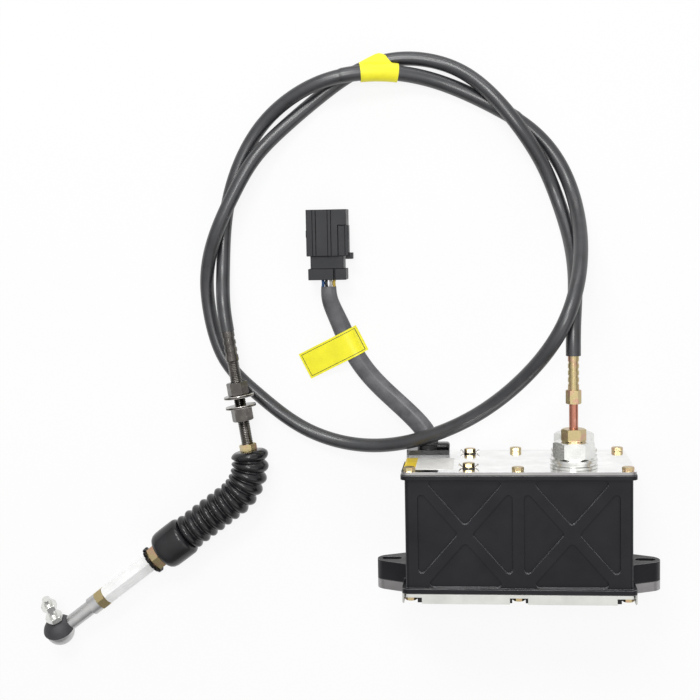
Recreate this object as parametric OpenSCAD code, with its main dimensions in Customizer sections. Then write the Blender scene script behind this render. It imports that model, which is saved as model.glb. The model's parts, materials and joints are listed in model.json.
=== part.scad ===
// Engine governor actuator: a ribbed gear housing with a push-pull cable and a wiring lead.
// It lies on its back: +X to the right, +Y towards the cable side, +Z up through the ribbed front.

/* [Body] */
// Width of the flanges
body_w = 156; // [152:1:166]
// Depth of the flanges, front to back
body_d = 90; // [88:1:96]
// Height of the cast housing between its two gaskets
housing_h = 79.5; // [78:0.5:86]
// How far the flange lips stand out from the walls
lip_out = 2.7; // [2:0.1:3.2]
// Thickness of a flange lip
lip_t = 2.9; // [2:0.1:4]
// Thickness of the cast walls
wall_t = 4; // [3.6:0.1:4.4]
// Corner radius of the flanges
corner_r = 5; // [4:0.5:7]
// Thickness of the base plate
base_t = 6.5; // [6:0.5:9]
// Thickness of the gaskets
gasket_t = 0.5; // [0.3:0.1:1]
// Thickness of the lid
lid_t = 2; // [1.5:0.1:3]
// How far the lid stays inside the flange edge
lid_inset = 0.6; // [0.2:0.1:1]

/* [Ribbed panels] */
// Distance of a panel's middle from the middle of the body
panel_x = 35.3; // [34.8:0.1:35.6]
// Half the width of a panel's pockets
panel_half_w = 31.5; // [28:0.5:31.5]
// Distance from a panel's pockets to the flange lip
panel_edge = 0.7; // [0.5:0.1:4]
// Width of the crossed ribs
rib_w = 7; // [5:0.5:9]
// Depth of the pockets between the ribs
rib_depth = 1.8; // [1:0.1:2.2]
// Corner radius of the pockets
pocket_r = 2.5; // [1.5:0.5:4]

/* [Mounting ears] */
// Reach of an ear beyond the flange
ear_reach = 19.5; // [19:0.5:26]
// Width of an ear at the wall
ear_root_w = 36; // [30:1:44]
// Radius of an ear's tip
ear_tip_r = 10; // [9:0.5:12]
// Height of the cast part of an ear
ear_h = 13; // [9:0.5:18]
// Length of the slotted hole
slot_l = 14; // [10:0.5:14.5]
// Width of the slotted hole
slot_w = 7; // [5:0.5:8]
// Distance from an ear's tip to the middle of its slot
slot_back = 10; // [9.5:0.5:10.5]

/* [Screws] */
// Distance of the corner screws from the ends of the body
screw_side = 6; // [5.5:0.5:8]
// Distance of the lid and base screws from the flange edge
screw_in = 6; // [5.5:0.5:7]
// Diameter of the lid and base screws
screw_d = 4; // [3.5:0.5:4.5]
// Hexagon size of the screws, across flats
screw_af = 7; // [6:0.5:7.5]
// Height of a screw head
screw_head = 2.8; // [2:0.1:3.2]
// Grip of a screw in its boss
screw_grip = 10; // [8:1:14]
// Radius of the inside screw bosses
boss_r = 5.5; // [5:0.5:6]
// Height of the head recess in the base plate
notch_h = 4.2; // [4:0.1:4.8]
// Width of the head recess
notch_w = 12; // [11:0.5:14]
// Distance of the gear frame's screws to the left of the middle
frame_screw_x = 32.6; // [31:0.2:34]
// Distance of the front frame screw from the front of the body
frame_screw_in = 17; // [16:0.5:18]
// Height of the rear frame screw above the table
frame_screw_rear = 15; // [14:0.5:17]

/* [Cable outlets] */
// Distance of the used outlet to the right of the middle
entry_x = 37.5; // [37:0.5:39]
// Distance of the used outlet from the front of the body
entry_in = 20; // [19.5:0.5:20.5]
// Distance of the blanked outlet to the right of the middle
plug_x = 40; // [38:0.5:42]
// Distance of the blanked outlet behind the used one
outlet_gap = 39; // [37:0.5:41]
// Thread diameter of the outlets
outlet_d = 16; // [14:0.5:18]
// Hexagon size of the outlets, across flats
outlet_af = 24; // [22:0.5:25]
// Height of an outlet's hexagon
outlet_hex_h = 11.5; // [9:0.5:14]
// Diameter of the outlet washers
washer_d = 31.5; // [28:0.5:32]
// Thickness of one outlet washer
washer_t = 2; // [1.5:0.1:2.5]
// Thickness of the nuts under the lid
lid_nut_t = 6; // [4:0.5:6]
// Hexagon size of the jam nut, across flats
jam_af = 14.5; // [12:0.5:16]
// Height of the jam nut
jam_h = 8.5; // [6:0.5:9]
// Diameter of the guide tube
tube_d = 6; // [5:0.5:7]
// Bore of the guide tube
tube_bore = 3.8; // [3.6:0.1:4]
// Free length of the guide tube above the jam nut
tube_free = 16.8; // [12:0.4:24]

/* [Cable] */
// Diameter of the cable's outer conduit
conduit_d = 10; // [8:0.5:10]
// Hexagon size of the crimped fitting, across flats
crimp_af = 9; // [8.5:0.5:11]
// Height of the crimped fitting's hexagon
crimp_hex_h = 9.4; // [7:0.2:12]
// Diameter of the crimped sleeve
crimp_d = 7.4; // [7.2:0.1:8.4]
// Length of the crimped sleeve
crimp_l = 22.8; // [20:0.2:24]
// Diameter of the core wire's end rod
core_d = 3; // [2.5:0.1:3.2]

/* [Bulkhead end] */
// Height of the bulkhead hub's axis above the table
hub_z = 22; // [22:0.5:26]
// Diameter of the threaded hub
hub_d = 8.6; // [8:0.2:9]
// Length of the threaded hub
hub_l = 61; // [56:1:66]
// Length of the dark end ferrule
end_ferrule_l = 21.5; // [18:0.5:24]
// Diameter of the dark end ferrule
end_ferrule_d = 9.4; // [9:0.2:10]
// Hexagon size of the hub nuts, across flats
hub_nut_af = 13.4; // [12:0.2:14.5]
// Height of a hub nut
hub_nut_h = 9.5; // [7:0.5:10]
// Diameter of the hub washers
hub_washer_d = 22; // [20:0.5:22]
// Thickness of a hub washer
hub_washer_t = 2; // [1.5:0.1:2.5]
// Thickness of the bracket that goes between the hub washers
bracket_gap = 5.5; // [4:0.5:7]
// Distance from the hub's lower end to the lower nut
hub_nut_start = 17; // [14:0.5:18]
// Height of the seal hexagon at the bellows
seal_h = 5; // [4:0.5:7]
// Hexagon size of the seal hexagon, across flats
seal_af = 11; // [10:0.5:12]

/* [Bellows and rod] */
// Height of the control rod's axis above the table
rod_z = 15.2; // [15:0.1:18]
// Outer diameter of the bellows
bellows_d = 27; // [24:0.5:28]
// Depth of a bellows fold
fold_depth = 3.6; // [2.5:0.1:4.5]
// Number of folds
folds = 12; // [9:1:14]
// Wall of the bellows
bellows_wall = 1.8; // [1.2:0.1:2.4]
// Diameter of the bellows cuff
cuff_d = 29.6; // [28:0.2:29.8]
// Length of the bellows cuff
cuff_l = 24; // [20:0.5:28]
// Height of the boot nut
boot_nut_h = 7; // [5:0.5:9]
// Hexagon size of the boot nut, across flats
boot_nut_af = 17; // [15:0.5:18]
// Diameter of the toothed washer
tooth_washer_d = 21; // [19:0.5:23]
// Thickness of the toothed washer
tooth_washer_t = 2.2; // [1.5:0.1:3]
// Length of the hexagon control rod
rod_l = 44; // [36:1:60]
// Hexagon size of the control rod, across flats
rod_af = 13; // [12:0.5:15]
// Height of the lock nut
lock_h = 7; // [5:0.5:9]
// Hexagon size of the lock nut, across flats
lock_af = 13.5; // [12:0.5:16]
// Thread diameter of the rod joints
rod_thread_d = 8; // [7:0.5:8.5]

/* [Ball joint] */
// Radius of the ball
ball_r = 6; // [5.5:0.25:6.5]
// Radius of the socket
socket_r = 10.6; // [10:0.2:11.4]
// Distance from the lock nut to the ball
socket_reach = 38.7; // [34:0.1:44]
// Diameter of the rod end's collar
collar_d = 13.5; // [12:0.5:15]
// Length of the rod end's collar
collar_l = 7.5; // [5:0.5:9]
// Diameter of the rod end's shank
shank_d = 10.8; // [9:0.2:12]
// Diameter of the stud's neck
neck_d = 6; // [5:0.5:6.5]
// Radius of the socket's mouth
mouth_r = 5.7; // [5.5:0.1:5.8]
// Hexagon size of the stud's base, across flats
stud_af = 11; // [10:0.5:13]
// Height of the stud's hexagon
stud_hex_h = 4.5; // [3:0.5:6]
// Length of the stud's thread above its hexagon
stud_l = 17; // [14:0.5:22]
// Hexagon size of the stud nut, across flats
stud_nut_af = 10; // [9:0.5:11]
// Height of the stud nut
stud_nut_h = 5; // [4:0.5:6]
// Thickness of the rubber dust cover
cover_t = 1.6; // [1.2:0.1:2]

/* [Wiring lead] */
// Width of the rubber grommet
grommet_w = 30; // [26:1:30]
// Depth of the rubber grommet, front to back
grommet_d = 17.5; // [15:0.5:17.5]
// Height of the rubber grommet above the lid
grommet_h = 7.5; // [6:0.5:7.5]
// Width of the flat wiring sleeve
sleeve_w = 14; // [10:0.5:15]
// Thickness of the flat wiring sleeve
sleeve_t = 8; // [7:0.5:9]
// Diameter of one wire
wire_d = 2.2; // [1.6:0.1:2.6]
// Length of the yellow cable tag
cable_tag_l = 27; // [22:1:32]
// Length of the yellow wiring tag
lead_tag_l = 47; // [40:1:52]
// Width of the cable tag
tag_w = 18; // [14:1:22]
// Width of the tag on the wiring lead
lead_tag_w = 20; // [16:1:24]
// Thickness of the tags
tag_t = 0.6; // [0.4:0.1:1]

/* [Connector] */
// Width of the connector's body
plug_w = 28.6; // [26:0.2:32]
// Length of the connector's body
plug_l = 33; // [30:0.5:40]
// Thickness of the connector's body
plug_t = 20; // [18:0.5:20]
// Wall of the connector's shroud
plug_wall = 2; // [1.6:0.1:2.6]
// Depth of the socket in the connector
socket_depth = 20; // [16:0.5:24]
// Length of the connector's neck
neck_l = 9; // [7:0.5:12]
// Length of the wire cover
cover_l = 8; // [6:0.5:10]
// Diameter of a contact pin
pin_d = 2; // [1.6:0.1:2.2]

/* [Gear train] */
// Distance of the motor's axis to the left of the middle
motor_x = 30; // [30:0.5:31]
// Outer diameter of the motor can
motor_d = 38; // [34:0.5:40]
// Height of the motor's rear end above the table
motor_back = 9; // [8.5:0.5:10]
// Wall of the motor can
motor_wall = 1.5; // [1.2:0.1:2]
// Diameter of the motor shaft
motor_shaft_d = 4; // [3.5:0.1:4.5]
// Height of the guide's lower stop with its lug and the carriage's end above the base plate
stop_rise = 15; // [14.5:0.5:15.5]
// Height from the carriage's middle to the posts under the lid, counted from the lid
post_drop = 14; // [13:0.5:16]
// Tooth module of the first pair
first_module = 0.8; // [0.78:0.01:0.82]
// Tooth module of the second pair
second_module = 1; // [0.98:0.01:1.02]
// Tooth module of the rack and its pinion
rack_module = 1.5; // [1.45:0.01:1.55]
// Thickness of the gear frame's plate
frame_t = 3; // [2.5:0.1:3.5]
// Thickness of the front bearing plate
front_plate_t = 2; // [1.6:0.1:2.4]
// Diameter of the output shaft
output_d = 6; // [5.6:0.2:6.4]
// Diameter of the idler pin
idler_pin_d = 5; // [4:0.2:5.4]
// Diameter of the carriage's guide rod
guide_d = 6; // [5:0.2:7]
// Height inside the housing that isn't used by the carriage's travel
stop_room = 31.5; // [31.5:0.5:36]
// Running clearance of shafts and slides
run_gap = 0.06; // [0.04:0.01:0.08]
// Clearance of fixed pins and screws
fit_gap = 0.05; // [0.03:0.01:0.1]

/* [Hidden] */
$fn = 48;

// Levels of the body along Y, from the base's underside up
base_y = -57.5;
base_top = base_y + base_t;
housing_y = base_top + gasket_t;
housing_top = housing_y + housing_h;
lid_y = housing_top + gasket_t;
lid_top = lid_y + lid_t;
mid_z = body_d / 2;
wall_w = body_w - 2 * lip_out;
wall_d = body_d - 2 * lip_out;
cavity_w = wall_w - 2 * wall_t;
cavity_d = wall_d - 2 * wall_t;
cut = 1;
screw_x = body_w / 2 - screw_side;
frame_screw_front = body_d - frame_screw_in;
entry_z = body_d - entry_in;
plug_z = entry_z - outlet_gap;
screw_places = [for (x = [-screw_x, 0, screw_x]) for (z = [screw_in, body_d - screw_in]) [x, z]];
frame_screw_zs = [frame_screw_rear, frame_screw_front];
ear_tip_x = body_w / 2 + ear_reach;
slot_x = ear_tip_x - slot_back;

// Levels of the cable outlet
stack_y = lid_top + 3 * washer_t;
hex_top = stack_y + outlet_hex_h;
jam_top = hex_top + jam_h;
crimp_y = jam_top + tube_free;
crimp_end = crimp_y + crimp_hex_h + crimp_l;
gland_bottom = lid_y - lid_nut_t - 1.5;

// Directions and places of the far end: the hub, the bend of the bellows and the rod
hub_turn = 8.7;
bend_turn = 61.83;
bend_r = 36;
hub_end_xy = [-191.6, 35];
hub_lead = 2.4;
hub_up = [-sin(hub_turn), cos(hub_turn), 0];
hub_foot = [hub_end_xy[0], hub_end_xy[1], hub_z];
ferrule_s = seal_h + hub_l;
conduit_end = hub_foot + (ferrule_s + end_ferrule_l) * hub_up;
bend_centre = hub_end_xy - hub_lead * [hub_up[0], hub_up[1]] - bend_r * [cos(hub_turn), sin(hub_turn)];
rod_angle = hub_turn - bend_turn - 90;
rod_dir = [cos(rod_angle), sin(rod_angle), 0];
rod_start = [
    bend_centre[0] + bend_r * cos(rod_angle + 90), bend_centre[1] + bend_r * sin(rod_angle + 90), rod_z
];
fold_straight = 44.5;
bend_l = bend_r * bend_turn * PI / 180;
fold_l = hub_lead + bend_l + fold_straight;
cuff_end = fold_straight + cuff_l;
boot_washer_t0 = cuff_end + boot_nut_h;
rod_t0 = boot_washer_t0 + tooth_washer_t;
lock_t0 = rod_t0 + rod_l;
end_t0 = lock_t0 + lock_h;
ball_place = rod_start + (end_t0 + socket_reach) * rod_dir;
stud_lean = 59;
stud_azimuth = 98;
cover_angle = 56;
cover_gap = 0.3;
stud_base = socket_r + cover_gap + cover_t + 0.3;

// Gear train: places of the axes and the layers between the two plates
travel = (housing_h - stop_room) / 4;
gear_y = base_top + stop_rise + 2 * travel;
first_teeth = [12, 48];
second_teeth = [12, 36];
pinion_teeth = 16;
pressure_angle = 25;
backlash = 0.22;
tooth_tip = 0.92;
pinion_r = rack_module * pinion_teeth / 2;
first_pitch = first_module * (first_teeth[0] + first_teeth[1]) / 2;
second_pitch = second_module * (second_teeth[0] + second_teeth[1]) / 2;
idler_x = first_pitch - motor_x;
output_x = idler_x + second_pitch;
pitch_x = output_x + pinion_r;
plate_back = 26;
plate_z = entry_z - plate_back;
motor_l = plate_z - motor_back;
plate_front = plate_z + frame_t;
first_z = plate_front + 3;
first_t = 4;
second_z = first_z + first_t + 2;
second_t = 6;
rack_t = 8;
rack_z = entry_z - rack_t / 2;
front_plate_z = entry_z + rack_t / 2 + 1.5;
rack_l = 2 * travel + 10;
guide_x = entry_x + 12.5;
guide_lug = 10;
guide_low = gear_y - rack_l / 2 - travel - 3;
guide_high = gear_y + rack_l / 2 + travel + 1.5;
lug_t = 3.5;
post_d = 6;
post_low = 27;
post_side = 16;
post_places = [
    for (x = [-motor_x - post_side, output_x - post_side / 4])
        for (y = [gear_y - post_low, lid_y - post_drop]) [x, y]
];
bush_wall = 2;
sensor_d = 22;
sensor_t = 12;

// Wiring lead and connector
grommet_x = -62;
grommet_z0 = 11.5;
lead_z = 19;
lead_start = [grommet_x, lid_top + grommet_h, lead_z];
plug_axis = [-132.4, 0, plug_t / 2 + 0.4];
lead_end = [plug_axis[0], 152, plug_axis[2]];
cover_y = 157;
neck_y = cover_y + cover_l;
plug_y = neck_y + neck_l;

// Route of the conduit, laid out by hand from the crimped fitting to the bulkhead end
lead_in = 22.5;
lead_out = 20;
conduit_start = [entry_x, crimp_end, entry_z];
conduit_route = concat(
    [conduit_start, conduit_start + [0, lead_in, 0]],
    [
        [41, 156, 51], [39, 183, 23], [31, 211, 4.5], [21.5, 235, 9.5], [7, 258, 19],
        [-13.5, 284.5, 16.5], [-38, 306, 4.8], [-74, 314.5, 5.3], [-107, 308, 5], [-136, 288, 4.8],
        [-162, 267, 6.5], [-184, 245.5, 16], [-198, 220.5, 18], [-212, 193, 19.5], [-222.5, 165, 8],
        [-222, 136, 4.8], [-213, 97, 5.3], [-187, 74, 5.3], [-154, 45.5, 5], [-110, 34, 10],
        [-67, 42.5, 31], [-23, 63, 43], [13, 97, 66], [34.5, 131, 84], [45, 168, 57], [45, 203, 16],
        [34.5, 236, 4.5], [14, 261.5, 5], [-17.5, 280, 5], [-52, 296.5, 5], [-87, 303.5, 13],
        [-122, 301, 20], [-150, 291, 16], [-178, 272, 5.3], [-197, 242, 5], [-208, 206, 5],
        [-210, 167, 4.8]
    ],
    [conduit_end + lead_out * hub_up, conduit_end]
);
lead_route = concat(
    [lead_start, lead_start + [0, 8, 0]],
    [[-75, 60, 13], [-91, 73, 5], [-106, 88, 4.5], [-118, 106.5, 4.5], [-126.5, 128, 4.5]],
    [lead_end - [0, 10, 0], lead_end]
);

// A uniform cubic spline through a list of control points, ending at its first and last point
function spline_at(a, b, c, d, t) =
    (pow(1 - t, 3) * a + (3 * pow(t, 3) - 6 * t * t + 4) * b
    + (-3 * pow(t, 3) + 3 * t * t + 3 * t + 1) * c + pow(t, 3) * d) / 6;
function padded_route(p) = concat(
    [2 * p[0] - p[1]], p, [2 * p[len(p) - 1] - p[len(p) - 2]]
);
function spline(p, steps) = let (q = padded_route(p)) concat(
    [for (i = [0 : len(q) - 4]) for (k = [0 : steps - 1])
        spline_at(q[i], q[i + 1], q[i + 2], q[i + 3], k / steps)],
    [p[len(p) - 1]]
);

// One ring of a swept tube: an oval across the path, kept level
function ring(place, along, wide, tall, sides) =
    let (level = norm([along[0], along[1]]), side = [along[1], -along[0], 0] / level, up = cross(side, along))
    [for (j = [0 : sides - 1]) let (a = 360 * j / sides)
        place + wide / 2 * cos(a) * side + tall / 2 * sin(a) * up];
function path_dir(p, i) =
    let (d = p[min(i + 1, len(p) - 1)] - p[max(i - 1, 0)]) d / norm(d);
function band_faces(rows, sides) = [
    for (i = [0 : rows - 2]) for (j = [0 : sides - 1])
        let (k = (j + 1) % sides)
        [i * sides + j, i * sides + k, (i + 1) * sides + k, (i + 1) * sides + j]
];

// A closed tube along a path, with its end faces square to the two given directions
module swept_tube(path, wide, tall, sides, first_dir, last_dir) {
    last = len(path) - 1;
    dirs = [for (i = [0 : last]) i == 0 ? first_dir : i == last ? last_dir : path_dir(path, i)];
    points = [for (i = [0 : last]) each ring(path[i], dirs[i], wide, tall, sides)];
    caps = [[for (j = [sides - 1 : -1 : 0]) j], [for (j = [0 : sides - 1]) last * sides + j]];
    polyhedron(points, concat(band_faces(last + 1, sides), caps), convexity = 10);
}

// Places a child whose +Z axis is to point along +Y
module up_y(x, y, z) {
    translate([x, y, z]) rotate([-90, 0, 0]) children();
}

// Extrudes an outline drawn in X and Z along +Y
module slab(y, h) {
    translate([0, y + h, 0]) rotate([90, 0, 0]) linear_extrude(h) children();
}

module rounded(w, d, r) {
    translate([0, mid_z]) {
        square([w - 2 * r, d], center = true);
        square([w, d - 2 * r], center = true);
        for (x = [-1, 1]) for (y = [-1, 1])
            translate([x * (w / 2 - r), y * (d / 2 - r)]) circle(r);
    }
}

// A hexagon with turned corners and a bore
module hex_nut(af, h, bore) {
    r = af / 2 / cos(30);
    c = r - af / 2;
    difference() {
        intersection() {
            cylinder(r = r, h = h, $fn = 6);
            rotate_extrude()
                polygon([[0, 0], [af / 2, 0], [r, c * 0.6], [r, h - c * 0.6], [af / 2, h], [0, h]]);
        }
        if (bore > 0)
            translate([0, 0, -cut]) cylinder(d = bore, h = h + 2 * cut);
    }
}

module washer(d, t, bore) {
    difference() {
        cylinder(d = d, h = t);
        translate([0, 0, -cut]) cylinder(d = bore, h = t + 2 * cut);
    }
}

// A hexagon screw with its shank pointing down from z = 0
module hex_screw(d, af, head, grip) {
    hex_nut(af, head, 0);
    translate([0, 0, -grip]) cylinder(d = d, h = grip + cut);
}

// Outline of the housing's hollow, with the screw bosses left standing
module cavity() {
    difference() {
        rounded(cavity_w, cavity_d, 2);
        for (p = screw_places) translate(p) circle(boss_r);
    }
}

// Outline of one mounting ear: straight flanks that run into a round tip
module ear_outline(side) {
    xc = ear_tip_x - ear_tip_r;
    x0 = wall_w / 2 - 1;
    half = ear_root_w / 2;
    reach = norm([xc - x0, half]);
    a = atan2(half, x0 - xc) - acos(ear_tip_r / reach);
    tip = [for (k = [-8 : 8]) [side * (xc + ear_tip_r * cos(a * k / 8)), ear_tip_r * sin(a * k / 8)]];
    translate([0, mid_z]) polygon(concat([[side * x0, -half]], tip, [[side * x0, half]]));
}

module slot_outline(side) {
    translate([side * slot_x, mid_z]) {
        square([slot_l - slot_w, slot_w], center = true);
        for (s = [-1, 1]) translate([s * (slot_l - slot_w) / 2, 0]) circle(d = slot_w);
    }
}

module screw_holes(d) {
    for (p = screw_places) translate(p) circle(d = d);
}

// Points of a polygon with its corners rounded off
function unit(v) = v / norm(v);
function rounded_corner(a, b, c, r) =
    let (u = unit(a - b), v = unit(c - b), half = acos(u * v) / 2, mid = unit(u + v),
         centre = b + r / sin(half) * mid,
         from = atan2((b + r / tan(half) * u - centre)[1], (b + r / tan(half) * u - centre)[0]),
         to = atan2((b + r / tan(half) * v - centre)[1], (b + r / tan(half) * v - centre)[0]),
         turn = (to - from + 540) % 360 - 180)
    [for (k = [0 : 4]) centre + r * [cos(from + turn * k / 4), sin(from + turn * k / 4)]];
function rounded_points(p, r) =
    [for (i = [0 : len(p) - 1])
        each rounded_corner(p[(i + len(p) - 1) % len(p)], p[i], p[(i + 1) % len(p)], r)];

// The four pockets of one panel, between two crossed ribs
module panel_pockets() {
    half_h = housing_h / 2 - lip_t - panel_edge;
    rise = rib_w / 2 * norm([1, half_h / panel_half_w]);
    out = rib_w / 2 * norm([1, panel_half_w / half_h]);
    top_half = (half_h - rise) * panel_half_w / half_h;
    side_half = (panel_half_w - out) * half_h / panel_half_w;
    for (s = [-1, 1]) {
        polygon(rounded_points([[0, s * rise], [top_half, s * half_h], [-top_half, s * half_h]], pocket_r));
        polygon(rounded_points(
            [[s * out, 0], [s * panel_half_w, side_half], [s * panel_half_w, -side_half]], pocket_r
        ));
    }
}

module housing() {
    color([0.16, 0.16, 0.17]) difference() {
        union() {
            slab(housing_y, housing_h) rounded(wall_w, wall_d, corner_r - 2);
            slab(housing_y, lip_t) rounded(body_w, body_d, corner_r);
            slab(housing_top - lip_t, lip_t) rounded(body_w, body_d, corner_r);
            for (s = [-1, 1]) slab(housing_y, ear_h) ear_outline(s);
        }
        slab(housing_y - cut, housing_h + 2 * cut) cavity();
        slab(housing_y - cut, ear_h + 2 * cut) {
            slot_outline(-1);
            slot_outline(1);
        }
        for (x = [-panel_x, panel_x]) translate([x, housing_y + housing_h / 2, 0]) {
            translate([0, 0, body_d - lip_out - rib_depth]) linear_extrude(rib_depth + cut) panel_pockets();
            translate([0, 0, lip_out - cut]) linear_extrude(rib_depth + cut) panel_pockets();
        }
        slab(housing_top - screw_grip - 1, screw_grip + 2) screw_holes(screw_d + 2 * fit_gap);
        slab(housing_y - 1, screw_grip + 2) screw_holes(screw_d + 2 * fit_gap);
    }
}

module base_plate() {
    color([0.72, 0.72, 0.72]) difference() {
        slab(base_y, base_t) {
            rounded(body_w, body_d, corner_r);
            ear_outline(-1);
            ear_outline(1);
        }
        slab(base_y - cut, base_t + 2 * cut) {
            slot_outline(-1);
            slot_outline(1);
            screw_holes(screw_d + 4 * fit_gap);
        }
        for (p = screw_places) {
            inward = sign(mid_z - p[1]);
            shift = -sign(p[0]) * (notch_w / 2 - screw_af / 2 / cos(30) - 0.5);
            far = p[1] + inward * notch_w / 2;
            edge = mid_z - inward * (mid_z + cut);
            slab(base_y - cut, notch_h + cut)
                translate([p[0] + shift - notch_w / 2, min(far, edge)]) square([notch_w, abs(far - edge)]);
        }
    }
}

module base_gasket() {
    color([0.1, 0.1, 0.1]) slab(base_top, gasket_t) difference() {
        union() {
            rounded(body_w, body_d, corner_r);
            ear_outline(-1);
            ear_outline(1);
        }
        cavity();
        slot_outline(-1);
        slot_outline(1);
        screw_holes(screw_d + 4 * fit_gap);
    }
}

module base_screws() {
    color([0.8, 0.66, 0.38]) for (p = screw_places)
        translate([p[0], base_y + notch_h, p[1]]) rotate([90, 0, 0])
            hex_screw(screw_d, screw_af, screw_head, base_t - notch_h + gasket_t + screw_grip);
}

module lid() {
    color([0.86, 0.86, 0.86]) difference() {
        slab(lid_y, lid_t) rounded(body_w - 2 * lid_inset, body_d - 2 * lid_inset, corner_r - lid_inset);
        slab(lid_y - cut, lid_t + 2 * cut) {
            screw_holes(screw_d + 4 * fit_gap);
            for (z = frame_screw_zs) translate([-frame_screw_x, z]) circle(d = screw_d + 4 * fit_gap);
            translate([entry_x, entry_z]) circle(d = outlet_d + 2 * fit_gap);
            translate([plug_x, plug_z]) circle(d = outlet_d + 2 * fit_gap);
            translate([grommet_x, lead_z]) circle(d = sleeve_t);
        }
    }
}

module lid_gasket() {
    color([0.1, 0.1, 0.1]) slab(housing_top, gasket_t) difference() {
        rounded(body_w - 2 * lid_inset, body_d - 2 * lid_inset, corner_r - lid_inset);
        cavity();
        screw_holes(screw_d + 4 * fit_gap);
    }
}

module lid_screws() {
    color([0.8, 0.66, 0.38]) for (p = screw_places)
        up_y(p[0], lid_top, p[1]) hex_screw(screw_d, screw_af, screw_head, lid_t + gasket_t + screw_grip);
}

wing_t = 0.8;
wing_ring_d = 9.6;
wing_root = 4.5;
wing_l = 3;
wing_w = 6;
wing_rise = 42;

module frame_screws() {
    color([0.8, 0.66, 0.38]) for (z = frame_screw_zs)
        up_y(-frame_screw_x, lid_top + wing_t, z)
            hex_screw(screw_d, screw_af, screw_head, wing_t + lid_t + frame_t);
}

// Lock washers with a bent-up wing on each side
module frame_washers() {
    color([0.2, 0.2, 0.2]) for (z = frame_screw_zs) difference() {
        union() {
            up_y(-frame_screw_x, lid_top, z) cylinder(d = wing_ring_d, h = wing_t);
            for (s = [-1, 1]) translate([-frame_screw_x + s * wing_root, lid_top, z])
                rotate([0, 0, s * wing_rise]) translate([s < 0 ? -wing_l : 0, 0, -wing_w / 2])
                    cube([wing_l, wing_t, wing_w]);
        }
        up_y(-frame_screw_x, lid_top - cut, z)
            cylinder(d = screw_d + 4 * fit_gap, h = wing_t + 2 * cut);
    }
}

// Hollow outlet bolt that clamps the washers and the lid
module entry_gland() {
    color([0.78, 0.78, 0.76]) difference() {
        union() {
            up_y(entry_x, stack_y, entry_z) hex_nut(outlet_af, outlet_hex_h, 0);
            up_y(entry_x, gland_bottom, entry_z) cylinder(d = outlet_d, h = stack_y - gland_bottom + cut);
        }
        up_y(entry_x, gland_bottom - cut, entry_z)
            cylinder(d = tube_d + 2 * fit_gap, h = hex_top - gland_bottom + 2 * cut);
    }
}

module outlet_washers(x, z) {
    for (k = [0 : 2]) up_y(x, lid_top + k * washer_t, z)
        washer(k == 1 ? washer_d - 3 : washer_d, washer_t, outlet_d + 2 * fit_gap);
}

module entry_washers() {
    color([0.75, 0.75, 0.73]) outlet_washers(entry_x, entry_z);
}

module entry_nut() {
    color([0.75, 0.75, 0.73]) up_y(entry_x, lid_y - lid_nut_t, entry_z)
        hex_nut(outlet_af, lid_nut_t, outlet_d + 2 * fit_gap);
}

module jam_nut() {
    color([0.82, 0.66, 0.36]) up_y(entry_x, hex_top, entry_z) hex_nut(jam_af, jam_h, tube_d + 2 * fit_gap);
}

tube_seat = 6;

module guide_tube() {
    color([0.8, 0.5, 0.4]) up_y(entry_x, gland_bottom, entry_z)
        washer(tube_d, crimp_y + tube_seat - gland_bottom, tube_bore);
}

// Hexagon fitting with a crimped sleeve, one turned piece
module crimp_ferrule() {
    groove = 0.4;
    color([0.82, 0.68, 0.42]) up_y(entry_x, crimp_y, entry_z) difference() {
        union() {
            hex_nut(crimp_af, crimp_hex_h, 0);
            cylinder(d = crimp_d, h = crimp_hex_h + crimp_l);
        }
        translate([0, 0, -cut]) cylinder(d = tube_d + 2 * fit_gap, h = tube_seat + cut);
        cylinder(d = tube_bore, h = crimp_hex_h + crimp_l - 2);
        for (k = [1 : 4]) translate([0, 0, crimp_hex_h + k * crimp_l / 5]) rotate_extrude()
            translate([crimp_d / 2, 0]) square([2 * groove, crimp_l / 12], center = true);
    }
}

module blank_plug() {
    color([0.78, 0.78, 0.76]) {
        up_y(plug_x, stack_y, plug_z) hex_nut(outlet_af, outlet_hex_h, 0);
        up_y(plug_x, gland_bottom, plug_z) cylinder(d = outlet_d, h = stack_y - gland_bottom + cut);
    }
}

module plug_washers() {
    color([0.75, 0.75, 0.73]) outlet_washers(plug_x, plug_z);
}

module plug_nut() {
    color([0.75, 0.75, 0.73]) up_y(plug_x, lid_y - lid_nut_t, plug_z)
        hex_nut(outlet_af, lid_nut_t, outlet_d + 2 * fit_gap);
}

module cable_conduit() {
    color([0.13, 0.13, 0.13]) swept_tube(
        spline(conduit_route, 2), conduit_d, conduit_d, 10, [0, 1, 0], -hub_up
    );
}

// Yellow tag on the conduit, with its flap over the neighbouring turn
tag_place = [-93, 303.5, 13.7];
tag_turn = 3;
tag_tilt = 9;

module cable_tag() {
    color([0.95, 0.82, 0.1]) translate(tag_place + [0, 0, conduit_d / 2 + 0.8])
        rotate([0, tag_tilt, tag_turn])
            translate([-cable_tag_l / 2, -tag_w / 2, 0]) cube([cable_tag_l, tag_w, tag_t]);
}

// Places a child along the hub's axis, counted from the bellows towards the cable
module on_hub(s) {
    translate(hub_foot + s * hub_up) rotate([0, 0, hub_turn]) rotate([-90, 0, 0]) children();
}

module end_ferrule() {
    groove = 0.5;
    color([0.25, 0.22, 0.2]) on_hub(ferrule_s) difference() {
        cylinder(d = end_ferrule_d, h = end_ferrule_l);
        for (k = [1 : 3]) translate([0, 0, k * end_ferrule_l / 4]) rotate_extrude()
            translate([end_ferrule_d / 2, 0]) square([2 * groove, end_ferrule_l / 9], center = true);
    }
}

module bulkhead_hub() {
    color([0.2, 0.19, 0.18]) on_hub(seal_h) cylinder(d = hub_d, h = hub_l);
}

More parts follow.
